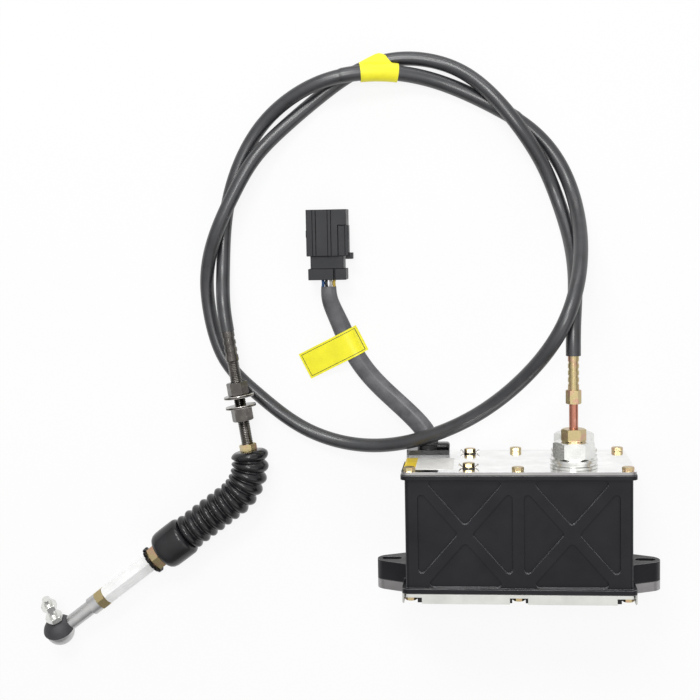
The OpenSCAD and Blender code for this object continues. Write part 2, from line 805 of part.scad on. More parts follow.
nut_low = seal_h + hub_nut_start;
washer_low = nut_low + hub_nut_h;
washer_high = washer_low + hub_washer_t + bracket_gap;
nut_high = washer_high + hub_washer_t;

module hub_nuts() {
    color([0.24, 0.22, 0.2]) for (s = [nut_low, nut_high]) on_hub(s)
        hex_nut(hub_nut_af, hub_nut_h, hub_d + 2 * fit_gap);
}

module hub_washers() {
    color([0.24, 0.22, 0.2]) for (s = [washer_low, washer_high]) on_hub(s)
        washer(hub_washer_d, hub_washer_t, hub_d + 2 * fit_gap);
}

module seal_hex() {
    color([0.75, 0.68, 0.5]) on_hub(0) hex_nut(seal_af, seal_h, 0);
}

// Centre line of the bellows: a short lead, a bend and a straight run, sinking to the rod's height
function bellows_xy(s) =
    s <= hub_lead ? hub_end_xy - s * [hub_up[0], hub_up[1]]
    : s <= hub_lead + bend_l
        ? let (a = hub_turn - (s - hub_lead) / bend_l * bend_turn) bend_centre + bend_r * [cos(a), sin(a)]
        : [rod_start[0], rod_start[1]] + (s - hub_lead - bend_l) * [rod_dir[0], rod_dir[1]];
function ease(t) = t * t * (3 - 2 * t);
function bellows_at(s) =
    let (p = bellows_xy(s), t = min(max(s / fold_l, 0), 1)) [p[0], p[1], hub_z + (rod_z - hub_z) * ease(t)];
function bellows_dir(s) =
    let (a = hub_turn - 90 - min(max((s - hub_lead) / bend_l, 0), 1) * bend_turn) [cos(a), sin(a), 0];
function fold_r(k) = bellows_d / 2 - fold_depth * (1 - [0.1, 0.75, 1, 0.75, 0.1][k]);
bellows_sides = 20;
bore_r = bellows_d / 2 - fold_depth - bellows_wall;
fold_pitch = fold_l / folds;

// Radius and place of each ring, out along the folds and the cuff and back through the bore
bellows_rings = concat(
    [[0, fold_r(0)]],
    [for (i = [0 : folds - 1]) for (k = [0 : 4]) [fold_pitch * (i + (k + 0.5) / 5), fold_r(k)]],
    [[fold_l + 1, cuff_d / 2 - 1.2], [fold_l + 3, cuff_d / 2], [fold_l + cuff_l - 5, cuff_d / 2],
     [fold_l + cuff_l - 1.5, cuff_d / 2 - 1.6], [fold_l + cuff_l, cuff_d / 2 - 4]],
    [for (i = [0 : 14]) [fold_l + cuff_l - i * (fold_l + cuff_l - bellows_wall) / 14, bore_r]],
    [[bellows_wall, seal_af / 4], [0, seal_af / 4]]
);

module bellows() {
    n = bellows_sides;
    rows = len(bellows_rings);
    points = [for (q = bellows_rings) each ring(bellows_at(q[0]), bellows_dir(q[0]), 2 * q[1], 2 * q[1], n)];
    close = [for (j = [0 : n - 1]) [(rows - 1) * n + j, (rows - 1) * n + (j + 1) % n, (j + 1) % n, j]];
    color([0.08, 0.08, 0.08]) polyhedron(points, concat(band_faces(rows, n), close), convexity = 12);
}

// Places a child along the control rod's axis, counted from the end of the bend
module on_rod(t) {
    translate(rod_start + t * rod_dir) rotate([0, 0, rod_angle - 90]) rotate([-90, 0, 0]) children();
}

module boot_nut() {
    color([0.82, 0.68, 0.42]) on_rod(cuff_end) hex_nut(boot_nut_af, boot_nut_h, rod_thread_d + 2 * fit_gap);
}

module boot_washer() {
    teeth = 12;
    color([0.15, 0.15, 0.15]) on_rod(boot_washer_t0) difference() {
        cylinder(d = tooth_washer_d, h = tooth_washer_t);
        translate([0, 0, -cut]) cylinder(d = rod_thread_d + 2 * fit_gap, h = tooth_washer_t + 2 * cut);
        for (k = [0 : teeth - 1]) rotate([0, 0, 360 * k / teeth])
            translate([tooth_washer_d / 2 - 1, -0.8, -cut]) cube([2, 1.6, tooth_washer_t + 2 * cut]);
    }
}

rod_tail = 12;

// Hexagon rod with a threaded tail into the boot nut and a threaded hole for the rod end
module control_rod() {
    color([0.9, 0.9, 0.88]) difference() {
        union() {
            on_rod(rod_t0) hex_nut(rod_af, rod_l, 0);
            on_rod(rod_t0 - rod_tail) cylinder(d = rod_thread_d, h = rod_tail + cut);
        }
        on_rod(lock_t0 - rod_tail) cylinder(d = rod_thread_d + 2 * fit_gap, h = rod_tail + cut);
    }
}

module lock_nut() {
    color([0.82, 0.68, 0.42]) on_rod(lock_t0) hex_nut(lock_af, lock_h, rod_thread_d + 2 * fit_gap);
}

module on_stud() {
    translate(ball_place) rotate([0, stud_lean, stud_azimuth]) children();
}

// Forged rod end: threaded tail, collar, shank and ball socket
module rod_end() {
    color([0.45, 0.45, 0.46]) difference() {
        union() {
            on_rod(lock_t0 - rod_tail + 2) cylinder(d = rod_thread_d, h = rod_tail + lock_h);
            on_rod(end_t0) cylinder(d = collar_d, h = collar_l);
            on_rod(end_t0) cylinder(d = shank_d, h = socket_reach);
            translate(ball_place) sphere(socket_r);
        }
        translate(ball_place) sphere(ball_r + run_gap);
        on_stud() cylinder(r = mouth_r, h = socket_r + cut);
        on_stud() translate([0, 0, -socket_r - cut])
            cylinder(r = socket_r, h = socket_r + cut - ball_r - 2.2);
    }
}

// Rubber cap that follows the stud over the socket, cut out round the shank that it turns about
module dust_cover() {
    inner = socket_r + cover_gap;
    outer = inner + cover_t;
    first = asin((neck_d / 2 + run_gap) / inner);
    step = (cover_angle - first) / 6;
    color([0.16, 0.16, 0.17]) difference() {
        on_stud() rotate_extrude() polygon(concat(
            [for (k = [0 : 6]) inner * [sin(first + step * k), cos(first + step * k)]],
            [for (k = [0 : 6]) let (a = cover_angle - step * k)
                [max(outer * sin(a), neck_d / 2 + run_gap), outer * cos(a)]]
        ));
        on_rod(end_t0) cylinder(d = shank_d + 2 * cover_gap, h = socket_reach);
    }
}

module ball_stud() {
    color([0.85, 0.85, 0.84]) on_stud() {
        sphere(ball_r);
        cylinder(d = neck_d, h = stud_base + stud_hex_h + stud_l);
        translate([0, 0, stud_base]) hex_nut(stud_af, stud_hex_h, 0);
    }
}

stud_nut_rise = 7;

module stud_nut() {
    color([0.8, 0.78, 0.72]) on_stud() translate([0, 0, stud_base + stud_hex_h + stud_nut_rise])
        hex_nut(stud_nut_af, stud_nut_h, neck_d + 2 * fit_gap);
}

// Rubber block where the wiring lead leaves the lid
module harness_grommet() {
    foot = grommet_h * 0.6;
    color([0.1, 0.1, 0.1]) difference() {
        union() {
            translate([grommet_x - grommet_w / 2, lid_top, grommet_z0]) cube([grommet_w, foot, grommet_d]);
            up_y(grommet_x, lid_top, lead_z) cylinder(d1 = sleeve_w + 2, d2 = sleeve_w + 1, h = grommet_h);
        }
        up_y(grommet_x, lid_top - cut, lead_z) cylinder(d = sleeve_t - 1, h = grommet_h);
    }
}

module harness_sleeve() {
    color([0.2, 0.2, 0.21]) swept_tube(
        spline(lead_route, 3), sleeve_w, sleeve_t, 12, [0, 1, 0], [0, 1, 0]
    );
}

wire_colours = [[0.1, 0.3, 0.7], [0.1, 0.1, 0.1], [0.9, 0.9, 0.88], [0.8, 0.6, 0.2]];

module harness_wires() {
    for (k = [0 : 3]) color(wire_colours[k])
        up_y(lead_end[0] + (k - 1.5) * (wire_d + 0.6), lead_end[1], lead_end[2])
            cylinder(d = wire_d, h = cover_y - lead_end[1]);
}

// Yellow flag on the wiring lead
lead_tag_place = [-130.9, 104, 0];
lead_tag_turn = 26.4;

module harness_tag() {
    color([0.95, 0.82, 0.1]) translate(lead_tag_place + [0, 0, 4.5 + sleeve_t / 2 + 0.4])
        rotate([0, 0, lead_tag_turn])
            translate([-lead_tag_l / 2, -lead_tag_w / 2, 0]) cube([lead_tag_l, lead_tag_w, tag_t]);
}

plug_right = plug_axis[0] + plug_w / 2;
plug_front = plug_axis[2] + plug_t / 2;

module plug_block(w, y, l, t) {
    translate([plug_axis[0] - w / 2, y, plug_axis[2] - t / 2]) cube([w, l, t]);
}

arm_w = 9;
arm_t = 1.6;
nub_t = 4.2;
nub_l = 4.5;
recess_t = 1.3;
recess_w = 5;

// Moulded connector: shroud with a socket, stepped neck, latch arm in a recess, nub and key ribs
module connector_body() {
    color([0.15, 0.15, 0.16]) difference() {
        union() {
            plug_block(plug_w, plug_y, plug_l, plug_t);
            plug_block(plug_w - 5, neck_y, neck_l + cut, plug_t - 4);
            translate([plug_right - cut, plug_y, plug_front - arm_w])
                cube([arm_t + cut, plug_l * 0.66, arm_w]);
            translate([plug_right - cut, plug_y - nub_l / 2, plug_front - arm_w])
                cube([nub_t + cut, nub_l, arm_w * 0.7]);
            for (x = [-0.3, 0.08])
                translate([plug_axis[0] + x * plug_w - 1.2, plug_y, plug_front - cut])
                    cube([2.4, plug_l, cut + 0.7]);
            translate([plug_axis[0] - plug_w / 2 - 1.2, plug_y + plug_l * 0.4, plug_axis[2] - 3])
                cube([2, 5, 6]);
        }
        plug_block(
            plug_w - 2 * plug_wall, plug_y + plug_l - socket_depth, socket_depth + cut, plug_t - 2 * plug_wall
        );
        translate([plug_right - recess_w - 1, plug_y - cut, plug_front - recess_t])
            cube([recess_w, plug_l * 0.66 + cut, recess_t + cut]);
    }
}

// Wire cover, with a groove in front beside its hinged part
module connector_cover() {
    color([0.22, 0.22, 0.23]) difference() {
        plug_block(plug_w - 1.5, cover_y, cover_l, plug_t - 3);
        translate([plug_axis[0] + plug_w * 0.16, cover_y - cut, plug_front - 2.5])
            cube([1, cover_l + 2 * cut, 2.5]);
    }
}

module connector_pins() {
    root = plug_y + plug_l - socket_depth;
    color([0.8, 0.7, 0.4]) for (i = [-1.5 : 1 : 1.5]) for (k = [-1, 1])
        up_y(plug_axis[0] + i * 5, root, plug_axis[2] + k * 3.5) cylinder(d = pin_d, h = socket_depth * 0.6);
}

// Involute gear teeth, thinned by the backlash
function involute(a) = tan(a) - a * PI / 180;
function half_tooth(teeth, m, radius) =
    let (r = m * teeth / 2, base = r * cos(pressure_angle), a = acos(min(base / radius, 1)))
    ((PI * m / 2 - backlash) / 2 / r + involute(pressure_angle) - involute(a)) * 180 / PI;
function tooth_points(teeth, m) =
    let (r = m * teeth / 2, root = r - 1.25 * m, tip = r + tooth_tip * m,
         low = max(r * cos(pressure_angle), root),
         flank = [for (q = [low, (low + tip) / 2, tip]) [q, half_tooth(teeth, m, q)]])
    concat(
        [[root, -half_tooth(teeth, m, low)]], [for (q = flank) [q[0], -q[1]]],
        [for (k = [2 : -1 : 0]) flank[k]], [[root, half_tooth(teeth, m, low)]]
    );
function gear_points(teeth, m) = let (one = tooth_points(teeth, m)) [
    for (i = [0 : teeth - 1]) each [
        for (q = one) let (a = 360 * i / teeth + q[1]) q[0] * [cos(a), sin(a)]
    ]
];

module gear(teeth, m, t, turn) {
    rotate([0, 0, turn]) linear_extrude(t) polygon(gear_points(teeth, m));
}

// Folded steel frame: bearing plate, top flange screwed under the lid and two guide lugs
module gear_frame() {
    flange_half = 12;
    flange_z0 = frame_screw_rear - 6;
    plate_x0 = -motor_x - 22;
    color([0.6, 0.62, 0.64]) difference() {
        union() {
            translate([plate_x0, guide_low - lug_t, plate_z])
                cube([guide_x + guide_lug / 2 - plate_x0, guide_high + lug_t - guide_low + lug_t, frame_t]);
            translate([-frame_screw_x - flange_half, guide_high, plate_z])
                cube([2 * flange_half, lid_y - guide_high, frame_t]);
            translate([-frame_screw_x - flange_half, lid_y - frame_t, flange_z0])
                cube([2 * flange_half, frame_t, frame_screw_front + 5 - flange_z0]);
            for (y = [guide_low - lug_t, guide_high]) translate([guide_x - guide_lug / 2, y, plate_z])
                cube([guide_lug, lug_t, entry_z + guide_lug / 2 - plate_z]);
        }
        for (z = frame_screw_zs) up_y(-frame_screw_x, lid_y - frame_t - cut, z)
            cylinder(d = screw_d + 2 * fit_gap, h = frame_t + 2 * cut);
        up_y(guide_x, guide_low - lug_t - cut, entry_z)
            cylinder(d = guide_d + 2 * fit_gap, h = guide_high - guide_low + 2 * lug_t + 2 * cut);
        translate([-motor_x, gear_y, plate_z - cut]) cylinder(d = 12, h = frame_t + 2 * cut);
        translate([idler_x, gear_y, plate_z - cut])
            cylinder(d = idler_pin_d + 2 * fit_gap, h = frame_t + 2 * cut);
        translate([output_x, gear_y, plate_z - cut])
            cylinder(d = output_d + 2 * bush_wall + 2 * fit_gap, h = frame_t + 2 * cut);
        motor_screw_places() translate([0, 0, plate_z - cut])
            cylinder(d = 3 + 4 * fit_gap, h = frame_t + 2 * cut);
    }
}

module motor_screw_places() {
    for (s = [-1, 1]) translate([-motor_x, gear_y + s * 12, 0]) children();
}

module front_plate() {
    x0 = post_places[0][0] - 5;
    y0 = post_places[0][1] - 5;
    color([0.6, 0.62, 0.64]) difference() {
        translate([x0, y0, front_plate_z])
            cube([post_places[3][0] + 12 - x0, post_places[3][1] + 5 - y0, front_plate_t]);
        translate([idler_x, gear_y, front_plate_z - cut])
            cylinder(d = idler_pin_d + 2 * fit_gap, h = front_plate_t + 2 * cut);
        translate([output_x, gear_y, front_plate_z - cut])
            cylinder(d = output_d + 2 * bush_wall + 2 * fit_gap, h = front_plate_t + 2 * cut);
    }
}

module frame_posts() {
    color([0.7, 0.7, 0.7]) for (p = post_places) translate([p[0], p[1], plate_front])
        cylinder(d = post_d, h = front_plate_z - plate_front);
}

motor_z = plate_z - motor_l;
motor_bush_d = 8;

module motor_can() {
    color([0.55, 0.56, 0.58]) translate([-motor_x, gear_y, motor_z]) difference() {
        cylinder(d = motor_d, h = motor_l);
        translate([0, 0, -cut]) cylinder(d = motor_d - 2 * motor_wall, h = motor_l - 2 + cut);
        cylinder(d = motor_bush_d + 2 * fit_gap, h = motor_l + cut);
        for (s = [-1, 1]) translate([0, s * 12, motor_l - 2 - cut])
            cylinder(d = 3 + 2 * fit_gap, h = 2 + 2 * cut);
    }
}

cap_t = 1.5;
cap_plug = 3;

module motor_end_cap() {
    color([0.12, 0.12, 0.13]) translate([-motor_x, gear_y, motor_z]) difference() {
        union() {
            translate([0, 0, -cap_t]) cylinder(d = motor_d, h = cap_t);
            cylinder(d = motor_d - 2 * motor_wall - 2 * fit_gap, h = cap_plug);
        }
        translate([0, 0, -cap_t - cut])
            cylinder(d = motor_bush_d + 2 * fit_gap, h = cap_t + cap_plug + 2 * cut);
    }
}

rotor_r = motor_d / 2 - motor_wall - 3.6;

// Two magnet arcs on the inside of the can
module motor_magnets() {
    color([0.25, 0.24, 0.24]) translate([-motor_x, gear_y, motor_z + cap_plug + 3]) for (s = [0, 180])
        rotate([0, 0, s - 60]) rotate_extrude(angle = 120)
            translate([rotor_r + 0.8, 0])
                square([motor_d / 2 - motor_wall - fit_gap - rotor_r - 0.8, motor_l - cap_plug - 9]);
}

module motor_bushes() {
    color([0.72, 0.55, 0.3]) translate([-motor_x, gear_y, motor_z]) {
        translate([0, 0, -cap_t]) washer(motor_bush_d, cap_t + cap_plug, motor_shaft_d + 2 * run_gap);
        translate([0, 0, motor_l - 3]) washer(motor_bush_d, 3, motor_shaft_d + 2 * run_gap);
    }
}

// Armature, shaft and pinion, turning together
module motor_rotor() {
    color([0.66, 0.45, 0.3]) translate([-motor_x, gear_y, 0]) {
        translate([0, 0, motor_z - cap_t])
            cylinder(d = motor_shaft_d, h = first_z + first_t - motor_z + cap_t);
        translate([0, 0, motor_z + cap_plug + 4]) cylinder(r = rotor_r, h = motor_l - cap_plug - 12);
        translate([0, 0, first_z]) gear(first_teeth[0], first_module, first_t, 180 / first_teeth[0]);
    }
}

module motor_screws() {
    color([0.7, 0.7, 0.7]) motor_screw_places() translate([0, 0, plate_front]) {
        cylinder(d = 5.5, h = 1.6);
        translate([0, 0, -frame_t - 2]) cylinder(d = 3, h = frame_t + 2 + 0.5);
    }
}

module idler_pin() {
    color([0.75, 0.75, 0.76]) translate([idler_x, gear_y, plate_z])
        cylinder(d = idler_pin_d, h = front_plate_z + front_plate_t - plate_z);
}

// Large and small wheel on one hub
module idler_gear() {
    color([0.85, 0.82, 0.7]) translate([idler_x, gear_y, 0]) difference() {
        union() {
            translate([0, 0, plate_front + 0.3])
                cylinder(d = idler_pin_d + 4, h = front_plate_z - plate_front - 0.6);
            translate([0, 0, first_z]) gear(first_teeth[1], first_module, first_t, 0);
            translate([0, 0, second_z]) gear(second_teeth[0], second_module, second_t, 0);
        }
        translate([0, 0, plate_z]) cylinder(d = idler_pin_d + 2 * run_gap, h = front_plate_z);
    }
}

module output_bushes() {
    color([0.72, 0.55, 0.3]) translate([output_x, gear_y, 0]) {
        translate([0, 0, plate_z]) washer(output_d + 2 * bush_wall, frame_t, output_d + 2 * run_gap);
        translate([0, 0, front_plate_z])
            washer(output_d + 2 * bush_wall, front_plate_t, output_d + 2 * run_gap);
    }
}

// Output shaft with its gear and the pinion that drives the rack
module output_gear() {
    color([0.8, 0.78, 0.66]) translate([output_x, gear_y, 0]) {
        translate([0, 0, plate_z - sensor_t + 3])
            cylinder(d = output_d, h = front_plate_z + front_plate_t - plate_z + sensor_t - 3);
        translate([0, 0, second_z]) gear(second_teeth[1], second_module, second_t, 180 / second_teeth[1]);
        translate([0, 0, rack_z]) gear(pinion_teeth, rack_module, rack_t, 0);
        translate([0, 0, plate_front + 0.3])
            cylinder(d = output_d + 3, h = first_z - plate_front - 0.8);
        translate([0, 0, second_z])
            cylinder(d = output_d + 3, h = front_plate_z - second_z - 0.3);
    }
}

// Turn sensor on the back end of the output shaft
module sensor_body() {
    color([0.15, 0.25, 0.2]) translate([output_x, gear_y, plate_z - sensor_t]) difference() {
        cylinder(d = sensor_d, h = sensor_t);
        translate([0, 0, 2]) cylinder(d = output_d + 0.6, h = sensor_t);
    }
}

// Toothed carriage that pushes and pulls the core wire
module rack_carriage() {
    pitch = PI * rack_module;
    depth = 1.25 * rack_module;
    root_x = pitch_x + depth;
    half = (pitch / 2 - backlash) / 2;
    lean = tan(pressure_angle);
    tip = tooth_tip * rack_module;
    end_x = guide_x + guide_lug / 2;
    y0 = gear_y - rack_l / 2;
    gaps = floor((rack_l / 2 - 2) / pitch);
    tooth = [
        [depth + 0.1, -half - depth * lean],
        [-tip, -half + tip * lean],
        [-tip, half - tip * lean],
        [depth + 0.1, half + depth * lean]
    ];
    color([0.7, 0.72, 0.75]) difference() {
        union() {
            translate([root_x, y0, rack_z]) cube([end_x - root_x, rack_l, rack_t]);
            for (k = [-gaps : gaps - 1])
                translate([pitch_x, gear_y + (k + 0.5) * pitch, rack_z])
                    linear_extrude(rack_t) polygon(tooth);
        }
        up_y(guide_x, y0 - cut, entry_z) cylinder(d = guide_d + 2 * run_gap, h = rack_l + 2 * cut);
        up_y(entry_x, y0 - cut, entry_z) cylinder(d = core_d + 2 * fit_gap, h = rack_l + 2 * cut);
    }
}

module guide_rod() {
    color([0.78, 0.78, 0.8]) up_y(guide_x, guide_low - lug_t, entry_z)
        cylinder(d = guide_d, h = guide_high - guide_low + 2 * lug_t);
}

// Stiff end of the core wire, held in the carriage
module core_wire() {
    color([0.6, 0.6, 0.62]) up_y(entry_x, gear_y - rack_l / 2, entry_z)
        cylinder(d = core_d, h = jam_top - 1.5 - gear_y + rack_l / 2);
}

housing();
base_plate();
base_gasket();
base_screws();
lid();
lid_gasket();
lid_screws();
frame_screws();
frame_washers();
entry_gland();
entry_washers();
entry_nut();
jam_nut();
guide_tube();
crimp_ferrule();
blank_plug();
plug_washers();
plug_nut();
cable_conduit();
cable_tag();
end_ferrule();
bulkhead_hub();
hub_nuts();
hub_washers();
seal_hex();
bellows();
boot_nut();
boot_washer();
control_rod();
lock_nut();
rod_end();
dust_cover();
ball_stud();
stud_nut();
harness_grommet();
harness_sleeve();
harness_wires();
harness_tag();
connector_body();
connector_cover();
connector_pins();
gear_frame();
front_plate();
frame_posts();
motor_can();
motor_end_cap();
motor_magnets();
motor_bushes();
motor_rotor();
motor_screws();
idler_pin();
idler_gear();
output_bushes();
output_gear();
sensor_body();
rack_carriage();
guide_rod();
core_wire();
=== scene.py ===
"""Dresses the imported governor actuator: finishes, cable, wiring lead, bellows, tags and stage."""

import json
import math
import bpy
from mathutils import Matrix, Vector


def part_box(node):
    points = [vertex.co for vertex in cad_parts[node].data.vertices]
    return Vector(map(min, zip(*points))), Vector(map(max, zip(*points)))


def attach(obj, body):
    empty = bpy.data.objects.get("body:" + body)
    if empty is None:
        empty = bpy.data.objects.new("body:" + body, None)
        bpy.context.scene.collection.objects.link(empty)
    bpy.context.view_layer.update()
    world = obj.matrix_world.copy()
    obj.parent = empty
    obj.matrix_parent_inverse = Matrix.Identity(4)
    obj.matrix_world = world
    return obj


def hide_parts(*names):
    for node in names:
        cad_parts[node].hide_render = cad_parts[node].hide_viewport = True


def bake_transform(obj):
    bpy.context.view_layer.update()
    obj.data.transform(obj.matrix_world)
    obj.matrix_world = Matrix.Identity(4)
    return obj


bl_info = {
    "name": "Governor actuator dressing",
    "version": (1, 0, 0),
    "blender": (4, 5, 0),
    "location": "View3D > Sidebar > Actuator",
    "description": "Finishes and soft pieces for a governor actuator with a push-pull cable",
    "category": "Object",
}

import bpy
from bpy.props import FloatProperty, FloatVectorProperty, IntProperty, PointerProperty
from mathutils import Matrix, Vector

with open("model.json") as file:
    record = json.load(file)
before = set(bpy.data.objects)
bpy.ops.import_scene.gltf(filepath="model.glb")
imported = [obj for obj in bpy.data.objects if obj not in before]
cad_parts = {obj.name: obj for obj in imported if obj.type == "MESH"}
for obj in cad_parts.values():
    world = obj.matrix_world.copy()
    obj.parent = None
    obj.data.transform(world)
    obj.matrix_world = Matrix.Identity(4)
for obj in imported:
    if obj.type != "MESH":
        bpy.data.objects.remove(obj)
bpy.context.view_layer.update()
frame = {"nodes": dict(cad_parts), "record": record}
NODES = frame["nodes"]
SLOTS = {part["node"]: part["material_slot"] for part in frame["record"]["subparts"]}
BODY_OF = {}
for body_name, members in frame["record"]["behaviour"]["bodies"].items():
    for member in members:
        BODY_OF[member] = body_name

JOINTS = {joint["name"]: joint for joint in frame["record"]["behaviour"]["joints"]}
BALL = Vector(JOINTS["stud_spin"]["pos_m"])
STUD_AXIS = Vector(JOINTS["stud_spin"]["axis"]).normalized()
SHANK_AXIS = -Vector(JOINTS["rod_slide"]["axis"]).normalized()

MM = 0.001

# Route of the cable's conduit in millimetres, from the crimped fitting to the bulkhead end
CONDUIT_ROUTE = [
    (41, 156, 51), (39, 183, 23), (31, 211, 4.5), (21.5, 235, 9.5), (7, 258, 19),
    (-13.5, 284.5, 16.5), (-38, 306, 4.8), (-74, 314.5, 5.3), (-107, 308, 5), (-136, 288, 4.8),
    (-162, 267, 6.5), (-184, 245.5, 16), (-198, 220.5, 18), (-212, 193, 19.5), (-222.5, 165, 8),
    (-222, 136, 4.8), (-213, 97, 5.3), (-187, 74, 5.3), (-154, 45.5, 5), (-110, 34, 10),
    (-67, 42.5, 31), (-23, 63, 43), (13, 97, 66), (34.5, 131, 84), (45, 168, 57), (45, 203, 16),
    (34.5, 236, 4.5), (14, 261.5, 5), (-17.5, 280, 5), (-52, 296.5, 5), (-87, 303.5, 13),
    (-122, 301, 20), (-150, 291, 16), (-178, 272, 5.3), (-197, 242, 5), (-208, 206, 5),
    (-210, 167, 4.8),
]
CONDUIT_LEAD_IN = 22.5
CONDUIT_LEAD_OUT = 20.0

# Route of the flat wiring sleeve in millimetres, between the grommet and the connector
LEAD_ROUTE = [(-75, 60, 13), (-91, 73, 5), (-106, 88, 4.5), (-118, 106.5, 4.5), (-126.5, 128, 4.5)]
LEAD_HEIGHT = 19.0
LEAD_START_RUN = 8.0
LEAD_END_RUN = 10.0

# How much narrower the sleeve is at the wires, over its last third
LEAD_TAPER = 0.22

# Corners of the sleeve's section, and its welded seam: one corner raised, the one before it sunk
LEAD_SIDES = 28
SEAM_CORNER = 5
SEAM_HEIGHT = 0.35

HUB_TURN = math.radians(8.7)
HUB_UP = Vector((-math.sin(HUB_TURN), math.cos(HUB_TURN), 0.0))


def box_of(node):
    """Lowest and highest corner of a CAD node, as vectors in metres."""
    low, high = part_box(node)
    return Vector(low), Vector(high)


def middle_of(node):
    low, high = box_of(node)
    return (low + high) / 2


def half_length(node):
    """Half the length of a round CAD node that lies along the hub's axis, in metres."""
    low, high = box_of(node)
    return (high.y - low.y - (high.z - low.z) * math.sin(HUB_TURN)) / 2 / math.cos(HUB_TURN)


def around(sides):
    """Angles of the corners of a round section."""
    return [2 * math.pi * j / sides for j in range(sides)]


class CableSizes(bpy.types.PropertyGroup):
    conduit_d: FloatProperty(
        name="Conduit diameter", description="Outer diameter of the cable's conduit",
        default=0.010, min=0.006, max=0.012, unit="LENGTH",
    )
    sleeve_w: FloatProperty(
        name="Lead width", description="Width of the flat wiring sleeve",
        default=0.014, min=0.008, max=0.02, unit="LENGTH",
    )
    sleeve_t: FloatProperty(
        name="Lead thickness", description="Thickness of the flat wiring sleeve",
        default=0.008, min=0.004, max=0.012, unit="LENGTH",
    )
    steps: IntProperty(
        name="Steps per span", description="Points between two control points of a route",
        default=16, min=4, max=40,
    )


class FinishColours(bpy.types.PropertyGroup):
    cast: FloatVectorProperty(
        name="Cast housing", description="Colour of the painted casting",
        default=(0.0098, 0.0098, 0.0124), size=3, subtype="COLOR", min=0, max=1,
    )
    zinc: FloatVectorProperty(
        name="Yellow zinc", description="Colour of the yellow-passivated fasteners",
        default=(0.49, 0.40, 0.21), size=3, subtype="COLOR", min=0, max=1,
    )
    sheath: FloatVectorProperty(
        name="Cable sheath", description="Colour of the conduit",
        default=(0.0195, 0.020, 0.023), size=3, subtype="COLOR", min=0, max=1,
    )
    lead: FloatVectorProperty(
        name="Wiring sleeve", description="Colour of the flat wiring sleeve",
        default=(0.088, 0.088, 0.095), size=3, subtype="COLOR", min=0, max=1,
    )
    tag: FloatVectorProperty(
        name="Tags", description="Colour of the vinyl tags",
        default=(0.95, 0.88, 0.025), size=3, subtype="COLOR", min=0, max=1,
    )


def spline(points, steps):
    """A uniform cubic spline that starts at the first point and ends at the last."""
    padded = [2 * points[0] - points[1]] + points + [2 * points[-1] - points[-2]]
    line = []
    for a, b, c, d in zip(padded, padded[1:], padded[2:], padded[3:]):
        for k in range(steps):
            t = k / steps
            line.append((
                (1 - t) ** 3 * a + (3 * t**3 - 6 * t**2 + 4) * b
                + (-3 * t**3 + 3 * t**2 + 3 * t + 1) * c + t**3 * d
            ) / 6)
    line.append(points[-1].copy())
    return line


def conduit_line(steps):
    """Centre line of the conduit in metres, between the two fittings that hold it."""
    crimp = middle_of("crimp_ferrule")
    start = Vector((crimp.x, box_of("crimp_ferrule")[1].y, crimp.z))
    end = middle_of("end_ferrule") + half_length("end_ferrule") * HUB_UP
    route = [start, start + Vector((0, CONDUIT_LEAD_IN * MM, 0))]
    route += [Vector(p) * MM for p in CONDUIT_ROUTE]
    route += [end + CONDUIT_LEAD_OUT * MM * HUB_UP, end]
    return spline(route, steps)


def lead_line(steps):
    """Centre line of the wiring sleeve in metres, from the grommet to the wires."""
    wires = middle_of("harness_wires")
    end = Vector((wires.x, box_of("harness_wires")[0].y, wires.z))
    grommet = middle_of("harness_grommet")
    start = Vector((grommet.x, box_of("harness_grommet")[1].y, LEAD_HEIGHT * MM))
    route = [start, start + Vector((0, LEAD_START_RUN * MM, 0))]
    route += [Vector(p) * MM for p in LEAD_ROUTE]
    route += [end - Vector((0, LEAD_END_RUN * MM, 0)), end]
    return spline(route, steps)


def deselect_all():
    if bpy.context.object and bpy.context.object.mode != "OBJECT":
        bpy.ops.object.mode_set(mode="OBJECT")
    bpy.ops.object.select_all(action="DESELECT")


def make_active(piece):
    deselect_all()
    piece.select_set(True)
    bpy.context.view_layer.objects.active = piece


def new_piece(name, vertices, faces):
    """A mesh object at the origin with its place in its vertices."""
    mesh = bpy.data.meshes.new(name)
    mesh.from_pydata([tuple(v) for v in vertices], [], faces)
    mesh.update()
    piece = bpy.data.objects.new(name, mesh)
    bpy.context.scene.collection.objects.link(piece)
    return piece


def smooth(piece, degrees):
    make_active(piece)
    bpy.ops.object.shade_smooth_by_angle(angle=math.radians(degrees))
    deselect_all()


def apply_modifiers(piece):
    make_active(piece)
    for modifier in list(piece.modifiers):
        bpy.ops.object.modifier_apply(modifier=modifier.name)
    deselect_all()


STAND_FOR = {}


def stand_for(piece, node):
    """Hides a CAD node behind the piece that shows it."""
    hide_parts(node)
    STAND_FOR.setdefault(node, []).append(piece)


def shown(nodes):
    """The pieces that show some CAD nodes, or the nodes themselves."""
    return [piece for node in nodes for piece in STAND_FOR.get(node, [NODES[node]])]


def dress(piece, material, body, node=None):
    """Gives a new piece its material, its body and the node that it stands for."""
    piece.data.materials.clear()
    piece.data.materials.append(material)
    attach(piece, body)
    if node:
        stand_for(piece, node)


def rings_along(line, wide, tall, sides):
    """Rings of an oval tube along a line, kept level as in the CAD solids."""
    rings = []
    for i, place in enumerate(line):
        ahead = line[min(i + 1, len(line) - 1)] - line[max(i - 1, 0)]
        ahead.normalize()
        side = Vector((ahead.y, -ahead.x, 0)).normalized()
        up = side.cross(ahead)
        rings.append([
            place + side * (wide / 2 * math.cos(a)) + up * (tall / 2 * math.sin(a))
            for a in around(sides)
        ])
    return rings


